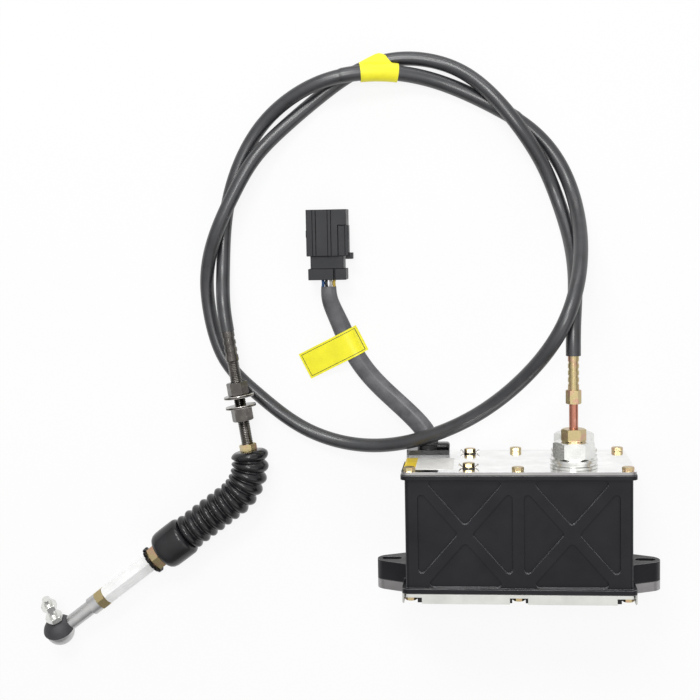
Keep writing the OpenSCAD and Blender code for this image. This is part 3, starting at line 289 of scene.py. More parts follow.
def mend_mesh(piece, weld=None):
    """Joins the points that coincide, where asked, and turns every face outward."""
    make_active(piece)
    bpy.ops.object.mode_set(mode="EDIT")
    bpy.ops.mesh.select_all(action="SELECT")
    if weld:
        bpy.ops.mesh.remove_doubles(threshold=weld)
    bpy.ops.mesh.normals_make_consistent(inside=False)
    bpy.ops.object.mode_set(mode="OBJECT")
    deselect_all()


# Points nearer than this are joined, in metres: on a shell whose last ring is its first, and on a CAD copy
SHELL_WELD = 0.000001
COPY_WELD = 0.000002


def skin(name, rings, capped=True):
    """A mesh over rings of equal count, closed at both ends or, uncapped, joined to itself."""
    sides = len(rings[0])
    vertices = [v for ring in rings for v in ring]
    faces = []
    for i in range(len(rings) - 1):
        for j in range(sides):
            k = (j + 1) % sides
            faces.append((i * sides + j, i * sides + k, (i + 1) * sides + k, (i + 1) * sides + j))
    if capped:
        faces.append(tuple(reversed(range(sides))))
        faces.append(tuple((len(rings) - 1) * sides + j for j in range(sides)))
    piece = new_piece(name, vertices, faces)
    mend_mesh(piece, None if capped else SHELL_WELD)
    return piece


# Roughness of every noise pattern, and the part of its range that a finish spreads over
NOISE_ROUGHNESS = 0.55
NOISE_RANGE = (0.3, 0.7)
RANGE_SOCKETS = ("From Min", "From Max", "To Min", "To Max")


class Nodes:
    """Builds one material's node tree, with short names for what the finishes use."""

    def __init__(self, name):
        self.material = bpy.data.materials.new(name)
        self.material.use_nodes = True
        self.tree = self.material.node_tree
        self.shader = self.tree.nodes["Principled BSDF"]
        self.place = self.add("ShaderNodeTexCoord").outputs["Object"]

    def add(self, kind, **values):
        node = self.tree.nodes.new(kind)
        for key, value in values.items():
            setattr(node, key, value)
        return node

    def link(self, a, b):
        self.tree.links.new(a, b)

    def mapped(self, scale):
        node = self.add("ShaderNodeMapping")
        node.inputs["Scale"].default_value = scale
        self.link(self.place, node.inputs["Vector"])
        return node.outputs["Vector"]

    def noise(self, scale, detail, vector=None):
        node = self.add("ShaderNodeTexNoise")
        node.inputs["Scale"].default_value = scale
        node.inputs["Detail"].default_value = detail
        node.inputs["Roughness"].default_value = NOISE_ROUGHNESS
        self.link(vector or self.place, node.inputs["Vector"])
        return node.outputs["Fac"]

    def ramp(self, value, stops):
        node = self.add("ShaderNodeValToRGB")
        marks = node.color_ramp.elements
        while len(marks) < len(stops):
            marks.new(0.5)
        for mark, (place, colour) in zip(marks, stops):
            mark.position = place
            mark.color = (*colour, 1.0)
        self.link(value, node.inputs["Fac"])
        return node.outputs["Color"]

    def spread(self, value, low, high):
        node = self.add("ShaderNodeMapRange")
        for name, bound in zip(RANGE_SOCKETS, (*NOISE_RANGE, low, high)):
            node.inputs[name].default_value = bound
        self.link(value, node.inputs["Value"])
        return node.outputs["Result"]

    def math(self, operation, a, b):
        node = self.add("ShaderNodeMath", operation=operation)
        for socket, value in zip(node.inputs, (a, b)):
            if isinstance(value, (int, float)):
                socket.default_value = value
            else:
                self.link(value, socket)
        return node.outputs["Value"]

    def mix(self, factor, a, b):
        node = self.add("ShaderNodeMix", data_type="RGBA")
        self.link(factor, node.inputs["Factor"])
        for name, value in (("A", a), ("B", b)):
            socket = [s for s in node.inputs if s.name == name and s.type == "RGBA"][0]
            if isinstance(value, tuple):
                socket.default_value = (*value, 1.0)
            else:
                self.link(value, socket)
        return [s for s in node.outputs if s.type == "RGBA"][0]

    def split(self, vector=None):
        node = self.add("ShaderNodeSeparateXYZ")
        self.link(vector or self.place, node.inputs["Vector"])
        return node.outputs

    def bump(self, height, distance, strength):
        node = self.add("ShaderNodeBump")
        node.inputs["Distance"].default_value = distance
        node.inputs["Strength"].default_value = strength
        self.link(height, node.inputs["Height"])
        self.link(node.outputs["Normal"], self.shader.inputs["Normal"])

    def colour(self, socket):
        self.link(socket, self.shader.inputs["Base Color"])

    def roughness(self, socket):
        self.link(socket, self.shader.inputs["Roughness"])

    def set(self, **values):
        for key, value in values.items():
            self.shader.inputs[key.replace("_", " ")].default_value = value


def shade(colour, factor):
    return tuple(min(max(c * factor, 0.0), 1.0) for c in colour)


def cast_paint(name, colour):
    """Satin paint over a fine sand-cast skin, paler where dust and light rubbing show."""
    n = Nodes(name)
    grain = n.noise(1400, 2.0)
    cloud = n.noise(45, 4.0)
    n.colour(n.ramp(cloud, [(0.3, shade(colour, 0.8)), (0.7, shade(colour, 1.35))]))
    n.roughness(n.spread(cloud, 0.34, 0.46))
    n.bump(grain, 0.0001, 0.5)
    n.set(Metallic=0.0, IOR=1.3)
    return n.material


def brushed_metal(name, colour, scale, low, high, bump=0.00002, metallic=1.0):
    """Bare metal with fine drawing lines along one axis."""
    n = Nodes(name)
    lines = n.noise(1.0, 3.0, n.mapped(scale))
    cloud = n.noise(60, 3.0)
    n.colour(n.ramp(cloud, [(0.3, shade(colour, 0.86)), (0.7, shade(colour, 1.06))]))
    n.roughness(n.spread(lines, low, high))
    n.bump(lines, bump, 0.4)
    n.set(Metallic=metallic)
    return n.material


def tinted_metal(name, colour, tint, low=0.16, high=0.34):
    """Plated or oxidised metal whose colour drifts between two tints."""
    n = Nodes(name)
    drift = n.noise(160, 2.0)
    speck = n.noise(2200, 2.0)
    n.colour(n.ramp(drift, [(0.32, colour), (0.5, shade(colour, 1.05)), (0.68, tint)]))
    n.roughness(n.spread(speck, low, high))
    n.bump(speck, 0.00002, 0.4)
    n.set(Metallic=1.0)
    return n.material


def rubber_skin(name, colour, low, high, ior=1.45, bump=0.00004):
    """Moulded rubber with a soft bloom and fine scuffs."""
    n = Nodes(name)
    cloud = n.noise(90, 4.0)
    scuff = n.noise(1.0, 3.0, n.mapped((700, 2600, 700)))
    n.colour(n.ramp(cloud, [(0.3, shade(colour, 0.75)), (0.72, shade(colour, 1.6))]))
    n.roughness(n.spread(cloud, low, high))
    n.bump(scuff, bump, 0.4)
    n.set(IOR=ior)
    return n.material


def moulded_plastic(name, colour, low=0.38, high=0.52):
    """Spark-eroded moulding grain on a dull plastic."""
    n = Nodes(name)
    grain = n.noise(2600, 2.0)
    cloud = n.noise(70, 3.0)
    n.colour(n.ramp(cloud, [(0.3, shade(colour, 0.85)), (0.7, shade(colour, 1.25))]))
    n.roughness(n.spread(cloud, low, high))
    n.bump(grain, 0.00005, 0.5)
    n.set(IOR=1.36)
    return n.material


def vinyl_sheet(n, colour):
    """Gives a node tree the surface of soft vinyl, and returns its slightly uneven colour."""
    cloud = n.noise(120, 3.0)
    n.roughness(n.spread(cloud, 0.32, 0.46))
    n.bump(n.noise(500, 2.0), 0.00004, 0.4)
    return n.ramp(cloud, [(0.3, shade(colour, 0.92)), (0.7, shade(colour, 1.04))])


def vinyl(name, colour):
    """Soft vinyl of one colour."""
    n = Nodes(name)
    n.colour(vinyl_sheet(n, colour))
    return n.material


FINISHES = {}


def make_finishes(colours):
    """One material for each slot of the record."""
    cast = tuple(colours.cast)
    zinc = tuple(colours.zinc)
    sheath = tuple(colours.sheath)
    FINISHES.update({
        "cast_black": cast_paint("cast_paint", cast),
        "bare_aluminium": brushed_metal("bare_aluminium", (0.62, 0.62, 0.59), (70, 700, 700), 0.4, 0.5),
        "polished_lid": brushed_metal(
            "polished_lid", (0.93, 0.93, 0.92), (40, 500, 500), 0.05, 0.1, bump=0.000002,
        ),
        # Darker rims: painted shade on the base plate's ear rims under the housing, and a darker rim on the
        # lid
        "darker_rim": brushed_metal("darker_rim", (0.35, 0.34, 0.34), (40, 500, 500), 0.3, 0.5),
        # Worn bare steel on edges, brightened into painted glints, for the hub's nuts and washers
        "worn_edge_and_glint": tinted_metal("worn_edge_and_glint", (0.62, 0.60, 0.57), (0.76, 0.74, 0.71), 0.16, 0.3),
        # Painted shade on the edges of the gland, the plug and their washers
        "edge_painted_shade": tinted_metal("edge_painted_shade", (0.30, 0.30, 0.29), (0.40, 0.39, 0.37), 0.3, 0.45),
        # Painted shade on the connector's edges
        "plastic_edge_shade": moulded_plastic("plastic_edge_shade", (0.008, 0.008, 0.009), 0.4, 0.55),
        "dull_rubber": rubber_skin("dull_rubber", (0.042, 0.042, 0.046), 0.5, 0.64),
        "black_oxide": tinted_metal("black_oxide", (0.022, 0.022, 0.022), (0.035, 0.033, 0.032), 0.28, 0.42),
        # Painted shade for the walls inside the screw notches and the dark blocks beside the screws
        "notch_painted_shade": cast_paint("notch_painted_shade", (0.02, 0.02, 0.02)),
        # Painted highlight on the housing's broken edges that face up
        "edge_painted_highlight": rubber_skin("edge_painted_highlight", (0.17, 0.17, 0.175), 0.2, 0.3, 1.5),
        "gasket": rubber_skin("gasket_sheet", (0.05, 0.05, 0.05), 0.6, 0.8),
        "yellow_zinc": tinted_metal("yellow_zinc", zinc, (0.56, 0.34, 0.24), 0.22, 0.38),
        "bright_zinc": tinted_metal("bright_zinc", (0.74, 0.74, 0.72), (0.82, 0.82, 0.79), 0.2, 0.34),
        "dark_steel": tinted_metal(
            "dark_phosphate", (0.105, 0.098, 0.091), (0.17, 0.158, 0.147), 0.14, 0.27,
        ),
        "copper_tube": tinted_metal("coppered_tube", (0.47, 0.20, 0.14), (0.55, 0.28, 0.21), 0.16, 0.3),
        "black_sheath": rubber_skin("cable_sheath", sheath, 0.3, 0.38, 1.7, 0.000004),
        "wiring_sleeve": rubber_skin("wiring_sleeve", tuple(colours.lead), 0.34, 0.44, 1.5, 0.00001),
        "yellow_tag": vinyl("yellow_vinyl", tuple(colours.tag)),
        "black_rubber": rubber_skin("bellows_rubber", (0.009, 0.009, 0.0105), 0.16, 0.28),
        # Painted reflection: the polished rod is a near-white finish, almost not metallic, bright on every
        # side
        "bright_rod": brushed_metal(
            "rod_painted_reflection", (0.95, 0.95, 0.94), (120, 120, 1500), 0.24, 0.32, bump=0.000003, metallic=0.1,
        ),
        "grey_zinc": tinted_metal("dull_zinc", (0.50, 0.50, 0.50), (0.58, 0.57, 0.56), 0.3, 0.46),
        "wires": vinyl("wire_jacket", (0.08, 0.2, 0.5)),
        "dark_plastic": moulded_plastic("dark_moulding", (0.017, 0.0175, 0.0205)),
        "brass": tinted_metal("brass_turned", (0.78, 0.60, 0.30), (0.84, 0.68, 0.38)),
        "frame_steel": brushed_metal("frame_sheet", (0.62, 0.63, 0.65), (500, 60, 500), 0.3, 0.46),
        "gear_steel": brushed_metal("cut_gear", (0.66, 0.65, 0.63), (400, 400, 900), 0.24, 0.4),
    })


# Nodes whose finish differs from the rest of their slot
OWN_FINISH = {
    "lid": "polished_lid", "harness_sleeve": "wiring_sleeve", "boot_washer": "black_oxide",
    "dust_cover": "dull_rubber",
}


def finish_of(node):
    return FINISHES[OWN_FINISH.get(node, SLOTS[node])]


# Nodes on the rod that show a corner to the front, and their turn in degrees
CORNER_FRONT = {"control_rod": 30, "lock_nut": 30, "boot_nut": 30}


def turn_on_rod(piece, degrees):
    """Turns a piece about the rod's axis, in its mesh."""
    turn = Matrix.Rotation(math.radians(degrees), 4, SHANK_AXIS)
    piece.data.transform(Matrix.Translation(BALL) @ turn @ Matrix.Translation(-BALL))


# Nodes whose broken edges have a finish of their own: painted highlight on the housing's edges that face up,
# worn bare steel with painted glints on the hub's nuts and washers, and painted shade on the edges of the
# gland, the plug, their washers and the connector
EDGE_FINISH = {
    "housing": "edge_painted_highlight", "hub_nuts": "worn_edge_and_glint", "hub_washers": "worn_edge_and_glint",
    "entry_gland": "edge_painted_shade", "entry_washers": "edge_painted_shade", "blank_plug": "edge_painted_shade",
    "plug_washers": "edge_painted_shade", "connector_body": "plastic_edge_shade", "connector_cover": "plastic_edge_shade",
}

# Edges sharper than the first angle are broken, and faces flatter than the second are joined first
BREAK_ANGLE = math.radians(32)
FLAT_ANGLE = math.radians(0.4)
BREAK_SEGMENTS = 3


def softened(node, width):
    """A copy of a CAD node with its edges broken, which stands for the node."""
    piece = bpy.data.objects.new(node + "_finished", NODES[node].data.copy())
    bpy.context.scene.collection.objects.link(piece)
    if node in CORNER_FRONT:
        turn_on_rod(piece, CORNER_FRONT[node])
    make_active(piece)
    bpy.ops.object.mode_set(mode="EDIT")
    bpy.ops.mesh.select_all(action="SELECT")
    bpy.ops.mesh.remove_doubles(threshold=COPY_WELD)
    bpy.ops.mesh.dissolve_limited(angle_limit=FLAT_ANGLE)
    bpy.ops.object.mode_set(mode="OBJECT")
    bevel = piece.modifiers.new("broken_edges", "BEVEL")
    bevel.width = width
    bevel.segments = BREAK_SEGMENTS
    bevel.limit_method = "ANGLE"
    bevel.angle_limit = BREAK_ANGLE
    bevel.use_clamp_overlap = True
    dress(piece, finish_of(node), BODY_OF[node], node)
    if node in EDGE_FINISH:
        piece.data.materials.append(FINISHES[EDGE_FINISH[node]])
        bevel.material = 1
    apply_modifiers(piece)
    smooth(piece, 40)
    piece.modifiers.new("flat_faces", "WEIGHTED_NORMAL").keep_sharp = True
    apply_modifiers(piece)


class ACTUATOR_OT_finishes(bpy.types.Operator):
    """Give every CAD node the material of its slot"""

    bl_idname = "actuator.finishes"
    bl_label = "Finishes"

    def execute(self, context):
        make_finishes(context.scene.actuator_colours)
        for node, piece in NODES.items():
            piece.data.materials.clear()
            piece.data.materials.append(finish_of(node))
            smooth(piece, 30)
        return {"FINISHED"}


# Width of the broken edges on each piece that shows, in millimetres
EDGE_BREAKS = {
    "housing": 0.5, "base_plate": 0.35, "lid": 0.2, "lid_screws": 0.1, "base_screws": 0.1,
    "frame_screws": 0.1, "entry_gland": 0.2, "entry_washers": 0.2, "jam_nut": 0.3,
    "crimp_ferrule": 0.2, "blank_plug": 0.2, "plug_washers": 0.2, "hub_nuts": 0.5,
    "hub_washers": 0.4, "seal_hex": 0.2, "boot_nut": 0.3, "boot_washer": 0.15, "control_rod": 0.3,
    "lock_nut": 0.25, "rod_end": 0.4, "ball_stud": 0.2, "stud_nut": 0.2, "harness_grommet": 1.0,
    "connector_body": 0.35, "connector_cover": 0.4, "guide_tube": 0.15, "end_ferrule": 0.15,
    "frame_washers": 0.1,
}


def block(name, low, high, edge):
    """A box between two corners in millimetres, with its edges rounded."""
    deselect_all()
    bpy.ops.mesh.primitive_cube_add(size=1, location=(0, 0, 0))
    piece = bpy.context.object
    piece.name = name
    bpy.ops.object.mode_set(mode="EDIT")
    bpy.ops.mesh.select_all(action="SELECT")
    bpy.ops.transform.resize(value=[(b - a) * MM for a, b in zip(low, high)])
    bpy.ops.transform.translate(value=[(a + b) / 2 * MM for a, b in zip(low, high)])
    bpy.ops.object.mode_set(mode="OBJECT")
    rounding = piece.modifiers.new("rounding", "BEVEL")
    rounding.width = edge * MM
    rounding.segments = 4
    apply_modifiers(piece)
    smooth(piece, 50)
    return piece


def second_finish(node, finish, wanted):
    """Gives another finish to the faces of a shown node that a test picks."""
    piece = shown([node])[0]
    piece.data.materials.append(FINISHES[finish])
    for face in piece.data.polygons:
        if wanted(face):
            face.material_index = len(piece.data.materials) - 1


# Screw notches of the base plate, in millimetres
NOTCH_MARGIN = 0.6
NOTCH_WIDTH = 12.0
NOTCH_HEIGHT = 4.2
NOTCH_DEPTH = 9.0


def darken_notches():
    """Paints shade on the walls inside the base plate's screw notches, with a near-black finish."""
    low, high = box_of("base_plate")
    reach = box_of("base_screws")[1].x
    margin = NOTCH_MARGIN * MM

    def inside(face):
        x, y, z = face.center
        level = low.y + margin < y < high.y - margin
        return level and low.z + margin < z < high.z - margin and abs(x) < reach

    second_finish("base_plate", "notch_painted_shade", inside)


# Where the ears start, in millimetres, and how far up a rim or an edge with painted highlight looks, as a
# cosine
EAR_START = 79.0
RIM_LOOK = 0.5
HIGHLIGHT_LOOK = 0.2


def is_rim(face):
    return abs(face.normal.y) < RIM_LOOK


def is_ear_rim(face):
    return is_rim(face) and abs(face.center.x) > EAR_START * MM


def highlight_upper_edges():
    """Keeps the painted highlight on the housing's edges that face up, and black on the rest."""
    piece = shown(["housing"])[0]
    for face in piece.data.polygons:
        if face.material_index == 1 and face.normal.y < HIGHLIGHT_LOOK:
            face.material_index = 0


# Dark blocks of painted shade in the notches, in millimetres: the screw beside them, their gaps and their
# least width
SCREW_FLAT = 7.0
SCREW_CLEARANCE = 0.4
NOTCH_CLEARANCE = 0.1
SHADE_BLOCK_SETBACK = 2.2
SHADE_BLOCK_GAP = 0.05
SHADE_BLOCK_FOOT = 0.3
SHADE_BLOCK_EDGE = 0.25
SHADE_BLOCK_LEAST = 1.0


def shade_blocks_in_notches():
    """Dark blocks beside the screw heads in the base plate's notches, standing for the shade inside them."""
    low, high = (corner / MM for corner in box_of("base_plate"))
    head = SCREW_FLAT / 2 / math.cos(math.radians(30))
    room = head + SCREW_CLEARANCE
    side_x = box_of("base_screws")[1].x / MM - head
    half = NOTCH_WIDTH / 2
    for x in (-side_x, 0.0, side_x):
        shift = -(x > 0) + (x < 0)
        middle = x + shift * (half - room - NOTCH_CLEARANCE)
        for start, end in ((middle - half, x - room), (x + room, middle + half)):
            if end - start < SHADE_BLOCK_LEAST:
                continue
            for z0 in (low.z + SHADE_BLOCK_SETBACK, high.z - SHADE_BLOCK_SETBACK - NOTCH_DEPTH):
                piece = block(
                    "notch_shade_block", (start + SHADE_BLOCK_GAP, low.y + SHADE_BLOCK_FOOT, z0),
                    (end, low.y + NOTCH_HEIGHT - SHADE_BLOCK_GAP, z0 + NOTCH_DEPTH), SHADE_BLOCK_EDGE,
                )
                dress(piece, FINISHES["notch_painted_shade"], "actuator")


# Upper part of the grommet behind the conduit: two corners and its rounding in millimetres
COLLAR_LOW = (-68.0, 35.4, 12.2)
COLLAR_HIGH = (-46.8, 40.0, 23.0)
COLLAR_EDGE = 2.0


def grommet_collar():
    """The taller, rounded end of the rubber block on the lid."""
    piece = block("grommet_collar", COLLAR_LOW, COLLAR_HIGH, COLLAR_EDGE)
    dress(piece, finish_of("harness_grommet"), "actuator")


class ACTUATOR_OT_edges(bpy.types.Operator):
    """Break the sharp edges of the pieces that show"""

    bl_idname = "actuator.edges"
    bl_label = "Broken edges"

    def execute(self, context):
        for node, width in EDGE_BREAKS.items():
            softened(node, width * MM)
        # Painted shade inside the screw notches
        darken_notches()
        # Painted shade on the ears' rims, and a darker rim on the lid
        second_finish("base_plate", "darker_rim", is_ear_rim)
        second_finish("lid", "darker_rim", is_rim)
        # Painted highlight on the housing's edges that face up
        highlight_upper_edges()
        # Dark blocks as painted shade beside the base screws
        shade_blocks_in_notches()
        grommet_collar()
        return {"FINISHED"}


CONDUIT_SIDES = 24

# Shrunk sleeve over the second turn of the conduit, in millimetres: its two ends along X and its wall,
# with the shares of the wall at its lips and in its rise over the conduit
SLEEVE_ENDS = (-122.0, 4.0)
SLEEVE_WALL = 0.45
SLEEVE_LIP = 0.2
SLEEVE_RISE = 0.9

# The far side of the coil starts at this Y, in millimetres
FAR_SIDE = 250.0


def second_turn(line):
    """Indexes of the points on the far side of the conduit's second turn."""
    later = range(len(line) * 3 // 5, len(line) - 1)
    return [i for i in later if line[i].y > FAR_SIDE * MM]


class ACTUATOR_OT_conduit(bpy.types.Operator):
    """Lay the black conduit of the push-pull cable along its coil"""

    bl_idname = "actuator.conduit"
    bl_label = "Cable conduit"

    def outer_sleeve(self, line, conduit_d):
        """The shrunk sleeve on the second turn, with a rounded lip at each end."""
        start, end = SLEEVE_ENDS
        run = [line[i] for i in second_turn(line) if start * MM < line[i].x < end * MM]
        rings = rings_along(run, conduit_d, conduit_d, CONDUIT_SIDES)
        rise = Vector((0, 0, SLEEVE_WALL * MM * SLEEVE_RISE))
        for i, ring in enumerate(rings):
            wall = SLEEVE_WALL * MM * (SLEEVE_LIP if i in (0, len(rings) - 1) else 1.0)
            for j, point in enumerate(ring):
                out = (point - run[i]).normalized()
                ring[j] = point + out * wall + rise
        piece = skin("conduit_sleeve", rings)
        smooth(piece, 50)
        dress(piece, FINISHES["black_sheath"], "actuator")
        return piece

    def execute(self, context):
        sizes = context.scene.actuator_cables
        line = conduit_line(sizes.steps)
        piece = skin("conduit", rings_along(line, sizes.conduit_d, sizes.conduit_d, CONDUIT_SIDES))
        smooth(piece, 60)
        dress(piece, FINISHES["black_sheath"], "actuator", "cable_conduit")
        sleeve = self.outer_sleeve(line, sizes.conduit_d)
        return {"FINISHED"}


class ACTUATOR_OT_lead(bpy.types.Operator):
    """Lay the flat wiring sleeve from the grommet to the connector"""

    bl_idname = "actuator.lead"
    bl_label = "Wiring lead"

    def execute(self, context):
        sizes = context.scene.actuator_cables
        line = lead_line(sizes.steps)
        rings = rings_along(line, sizes.sleeve_w, sizes.sleeve_t, LEAD_SIDES)
        for i, ring in enumerate(rings):
            near_end = max(3 * i / (len(rings) - 1) - 2, 0.0)
            rings[i] = [line[i] + (point - line[i]) * (1 - LEAD_TAPER * near_end) for point in ring]
            rings[i][SEAM_CORNER].z += SEAM_HEIGHT * MM
            rings[i][SEAM_CORNER - 1].z -= SEAM_HEIGHT * MM
        piece = skin("wiring_sleeve", rings)
        smooth(piece, 60)
        dress(piece, finish_of("harness_sleeve"), "actuator", "harness_sleeve")
        return {"FINISHED"}


# The four wires between the sleeve and the connector, from left to right: sideways bow in
# millimetres and jacket colour
WIRES = {
    "blue": (0.35, (0.035, 0.11, 0.30)), "black": (-0.3, (0.012, 0.013, 0.016)),
    "white": (0.45, (0.72, 0.70, 0.66)), "yellow": (-0.25, (0.72, 0.50, 0.06)),
}
WIRE_RISE = 0.4
WIRE_SIDES = 16
WIRE_STEPS = 16

# How far a wire runs on inside the sleeve and the connector, as a share of its open length
WIRE_TUCK = 0.3


class ACTUATOR_OT_wires(bpy.types.Operator):
    """Run the four coloured wires from the sleeve's end into the connector"""

    bl_idname = "actuator.wires"
    bl_label = "Wires"

    def execute(self, context):
        low, high = box_of("harness_wires")
        radius = (high.z - low.z) / 2
        span = high.x - low.x - 2 * radius
        for k, (name, (bow, colour)) in enumerate(WIRES.items()):
            start = Vector((low.x + radius + span * k / (len(WIRES) - 1), low.y, low.z + radius))
            line = []
            for i in range(WIRE_STEPS + 1):
                t = -WIRE_TUCK + (1 + 2 * WIRE_TUCK) * i / WIRE_STEPS
                swing = math.sin(math.pi * min(max(t, 0.0), 1.0)) * MM
                line.append(start + Vector((bow * swing, (high.y - low.y) * t, WIRE_RISE * swing)))
            piece = skin("wire_" + name, rings_along(line, 2 * radius, 2 * radius, WIRE_SIDES))
            smooth(piece, 60)
            dress(piece, vinyl("wire_jacket_" + name, colour), "actuator", "harness_wires")
        return {"FINISHED"}


# Bellows: its centre line leaves the hub, bends and runs straight to the rod, in millimetres
BELLOWS_FOOT = Vector((-191.6, 35, 22))
BELLOWS_LEAD = 2.4
BEND_RADIUS = 36.0
BEND_TURN = math.radians(61.83)
FOLD_STRAIGHT = 44.5
ROD_HEIGHT = 15.2
FOLDS = 12
FOLD_STEPS = 12
BELLOWS_RADIUS = 13.5
FOLD_DEPTH = 3.6
FOLD_ROUNDNESS = 0.7
FOOT_STEP = 0.6
BELLOWS_SIDES = 48
FOLD_LENGTH = BELLOWS_LEAD + BEND_RADIUS * BEND_TURN + FOLD_STRAIGHT

# Cuff on the rod's nut: distance past the folds and drop below its radius, ring by ring
CUFF_RADIUS = 14.8
CUFF_PROFILE = (
    (-0.6, 3.0), (-0.2, 2.2), (0.6, 1.0), (1.8, 0.25), (3.2, 0.0), (9.0, -0.02),
    (15.0, 0.05), (18.5, 0.15), (21.0, 0.7), (22.6, 1.7), (23.6, 3.0), (24.0, 4.4),
)

# Bore through the folds and the cuff, and the smaller mouth at the hub's end
BELLOWS_BORE = 8.4
BORE_STEPS = 24
MOUTH_RADIUS = 2.8
MOUTH_WALL = 1.8

# Distance from the hub of a point on the bellows' centre line, which the bellows step works out and leaves
# unused
FOLLOW_START = 4.0


def bellows_place(s):
    """Point and direction of the bellows' centre line at a distance from the hub."""
    turned = min(max((s - BELLOWS_LEAD) / BEND_RADIUS, 0.0), BEND_TURN)
    foot = Vector((BELLOWS_FOOT.x, BELLOWS_FOOT.y, 0)) - min(s, BELLOWS_LEAD) * HUB_UP
    centre = foot - BEND_RADIUS * Vector((math.cos(HUB_TURN), math.sin(HUB_TURN), 0))
    angle = HUB_TURN - turned
    place = centre + BEND_RADIUS * Vector((math.cos(angle), math.sin(angle), 0))
    heading = Vector((math.sin(angle), -math.cos(angle), 0))
    place += max(s - BELLOWS_LEAD - BEND_RADIUS * BEND_TURN, 0.0) * heading
    t = min(max(s / FOLD_LENGTH, 0.0), 1.0)
    place.z = BELLOWS_FOOT.z + (ROD_HEIGHT - BELLOWS_FOOT.z) * t * t * (3 - 2 * t)
    return place, heading


def bellows_profile():
    """Distance and radius of each ring: folds, cuff, and back through the bore."""
    pitch = FOLD_LENGTH / FOLDS
    rows = [(0.0, BELLOWS_RADIUS - FOLD_DEPTH - FOOT_STEP)]
    for i in range(FOLDS * FOLD_STEPS):
        u = (i + 0.5) / FOLD_STEPS
        swell = abs(math.sin(math.pi * u)) ** FOLD_ROUNDNESS
        rows.append((pitch * u, BELLOWS_RADIUS - FOLD_DEPTH * (1 - swell)))
    rows += [(FOLD_LENGTH + past, CUFF_RADIUS - drop) for past, drop in CUFF_PROFILE]
    end = rows[-1][0]
    rows += [(end - k * (end - MOUTH_WALL) / BORE_STEPS, BELLOWS_BORE) for k in range(BORE_STEPS + 1)]
    return rows + [(MOUTH_WALL, MOUTH_RADIUS), (0.0, MOUTH_RADIUS)]


class ACTUATOR_OT_bellows(bpy.types.Operator):
    """Model the folded rubber bellows as one closed shell"""

    bl_idname = "actuator.bellows"
    bl_label = "Bellows"

    def execute(self, context):
        rings = []
        for s, radius in bellows_profile():
            place, heading = bellows_place(s)
            side = Vector((heading.y, -heading.x, 0))
            rings.append([
                (place + radius * (math.cos(a) * side + math.sin(a) * Vector((0, 0, 1)))) * MM
                for a in around(BELLOWS_SIDES)
            ])
        rings.append(list(rings[0]))
        piece = skin("bellows_shell", rings, capped=False)
        smooth(piece, 70)
        piece.data.materials.append(FINISHES["black_rubber"])
        stand_for(piece, "bellows")
        start = bellows_place(FOLLOW_START)[0]
        end = bellows_place(FOLD_LENGTH)[0]
        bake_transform(piece)
        return {"FINISHED"}


# Rubber cap of the ball joint: radii in millimetres, and the angles where it starts and ends
CAP_INNER = 10.8
CAP_OUTER = 12.1
CAP_ANGLES = (17.0, 77.0)
CAP_STEPS = 12
CAP_SIDES = 48

# Cut for the shank in the cap, and the rounding of the cap's lip
CAP_SHANK = 11.4
CAP_REACH = 20.0
CAP_LIP = 0.3


class ACTUATOR_OT_dust_cap(bpy.types.Operator):
    """Fit the rubber cap over the ball joint, cut out round the shank"""

    bl_idname = "actuator.dust_cap"
    bl_label = "Dust cap"

    def execute(self, context):
        side = STUD_AXIS.orthogonal().normalized()
        front = STUD_AXIS.cross(side)
        first, last = map(math.radians, CAP_ANGLES)
        angles = [first + (last - first) * k / CAP_STEPS for k in range(CAP_STEPS + 1)]
        profile = [(CAP_OUTER, a) for a in angles] + [(CAP_INNER, a) for a in reversed(angles)]
        rings = []
        for radius, a in profile + profile[:1]:
            rings.append([
                BALL + radius * MM * (
                    math.cos(a) * STUD_AXIS + math.sin(a) * (math.cos(t) * side + math.sin(t) * front)
                )
                for t in around(CAP_SIDES)
            ])
        piece = skin("dust_cap", rings, capped=False)
        bpy.ops.mesh.primitive_cylinder_add(
            vertices=CAP_SIDES, radius=CAP_SHANK / 2 * MM, depth=CAP_REACH * MM,
        )
        cutter = context.object
        middle = BALL + SHANK_AXIS * (CAP_REACH / 2 * MM)
        turn = SHANK_AXIS.to_track_quat("Z", "Y").to_matrix().to_4x4()
        cutter.data.transform(Matrix.Translation(middle) @ turn)
        cut = piece.modifiers.new("shank_cut", "BOOLEAN")
        cut.operation = "DIFFERENCE"
        cut.object = cutter
        apply_modifiers(piece)
        bpy.data.objects.remove(cutter)
        edge = piece.modifiers.new("soft_lip", "BEVEL")
        edge.width = CAP_LIP * MM
        edge.segments = 2
        edge.limit_method = "ANGLE"
        edge.angle_limit = math.radians(40)
        apply_modifiers(piece)
        smooth(piece, 50)
        dress(piece, finish_of("dust_cover"), BODY_OF["dust_cover"], "dust_cover")
        return {"FINISHED"}


# Thread of the hub in millimetres, with the rings in one pitch and the corners of its section
HUB_THREAD_PITCH = 1.25
HUB_THREAD_DEPTH = 0.45
HUB_THREAD_STEPS = 6
HUB_SIDES = 32


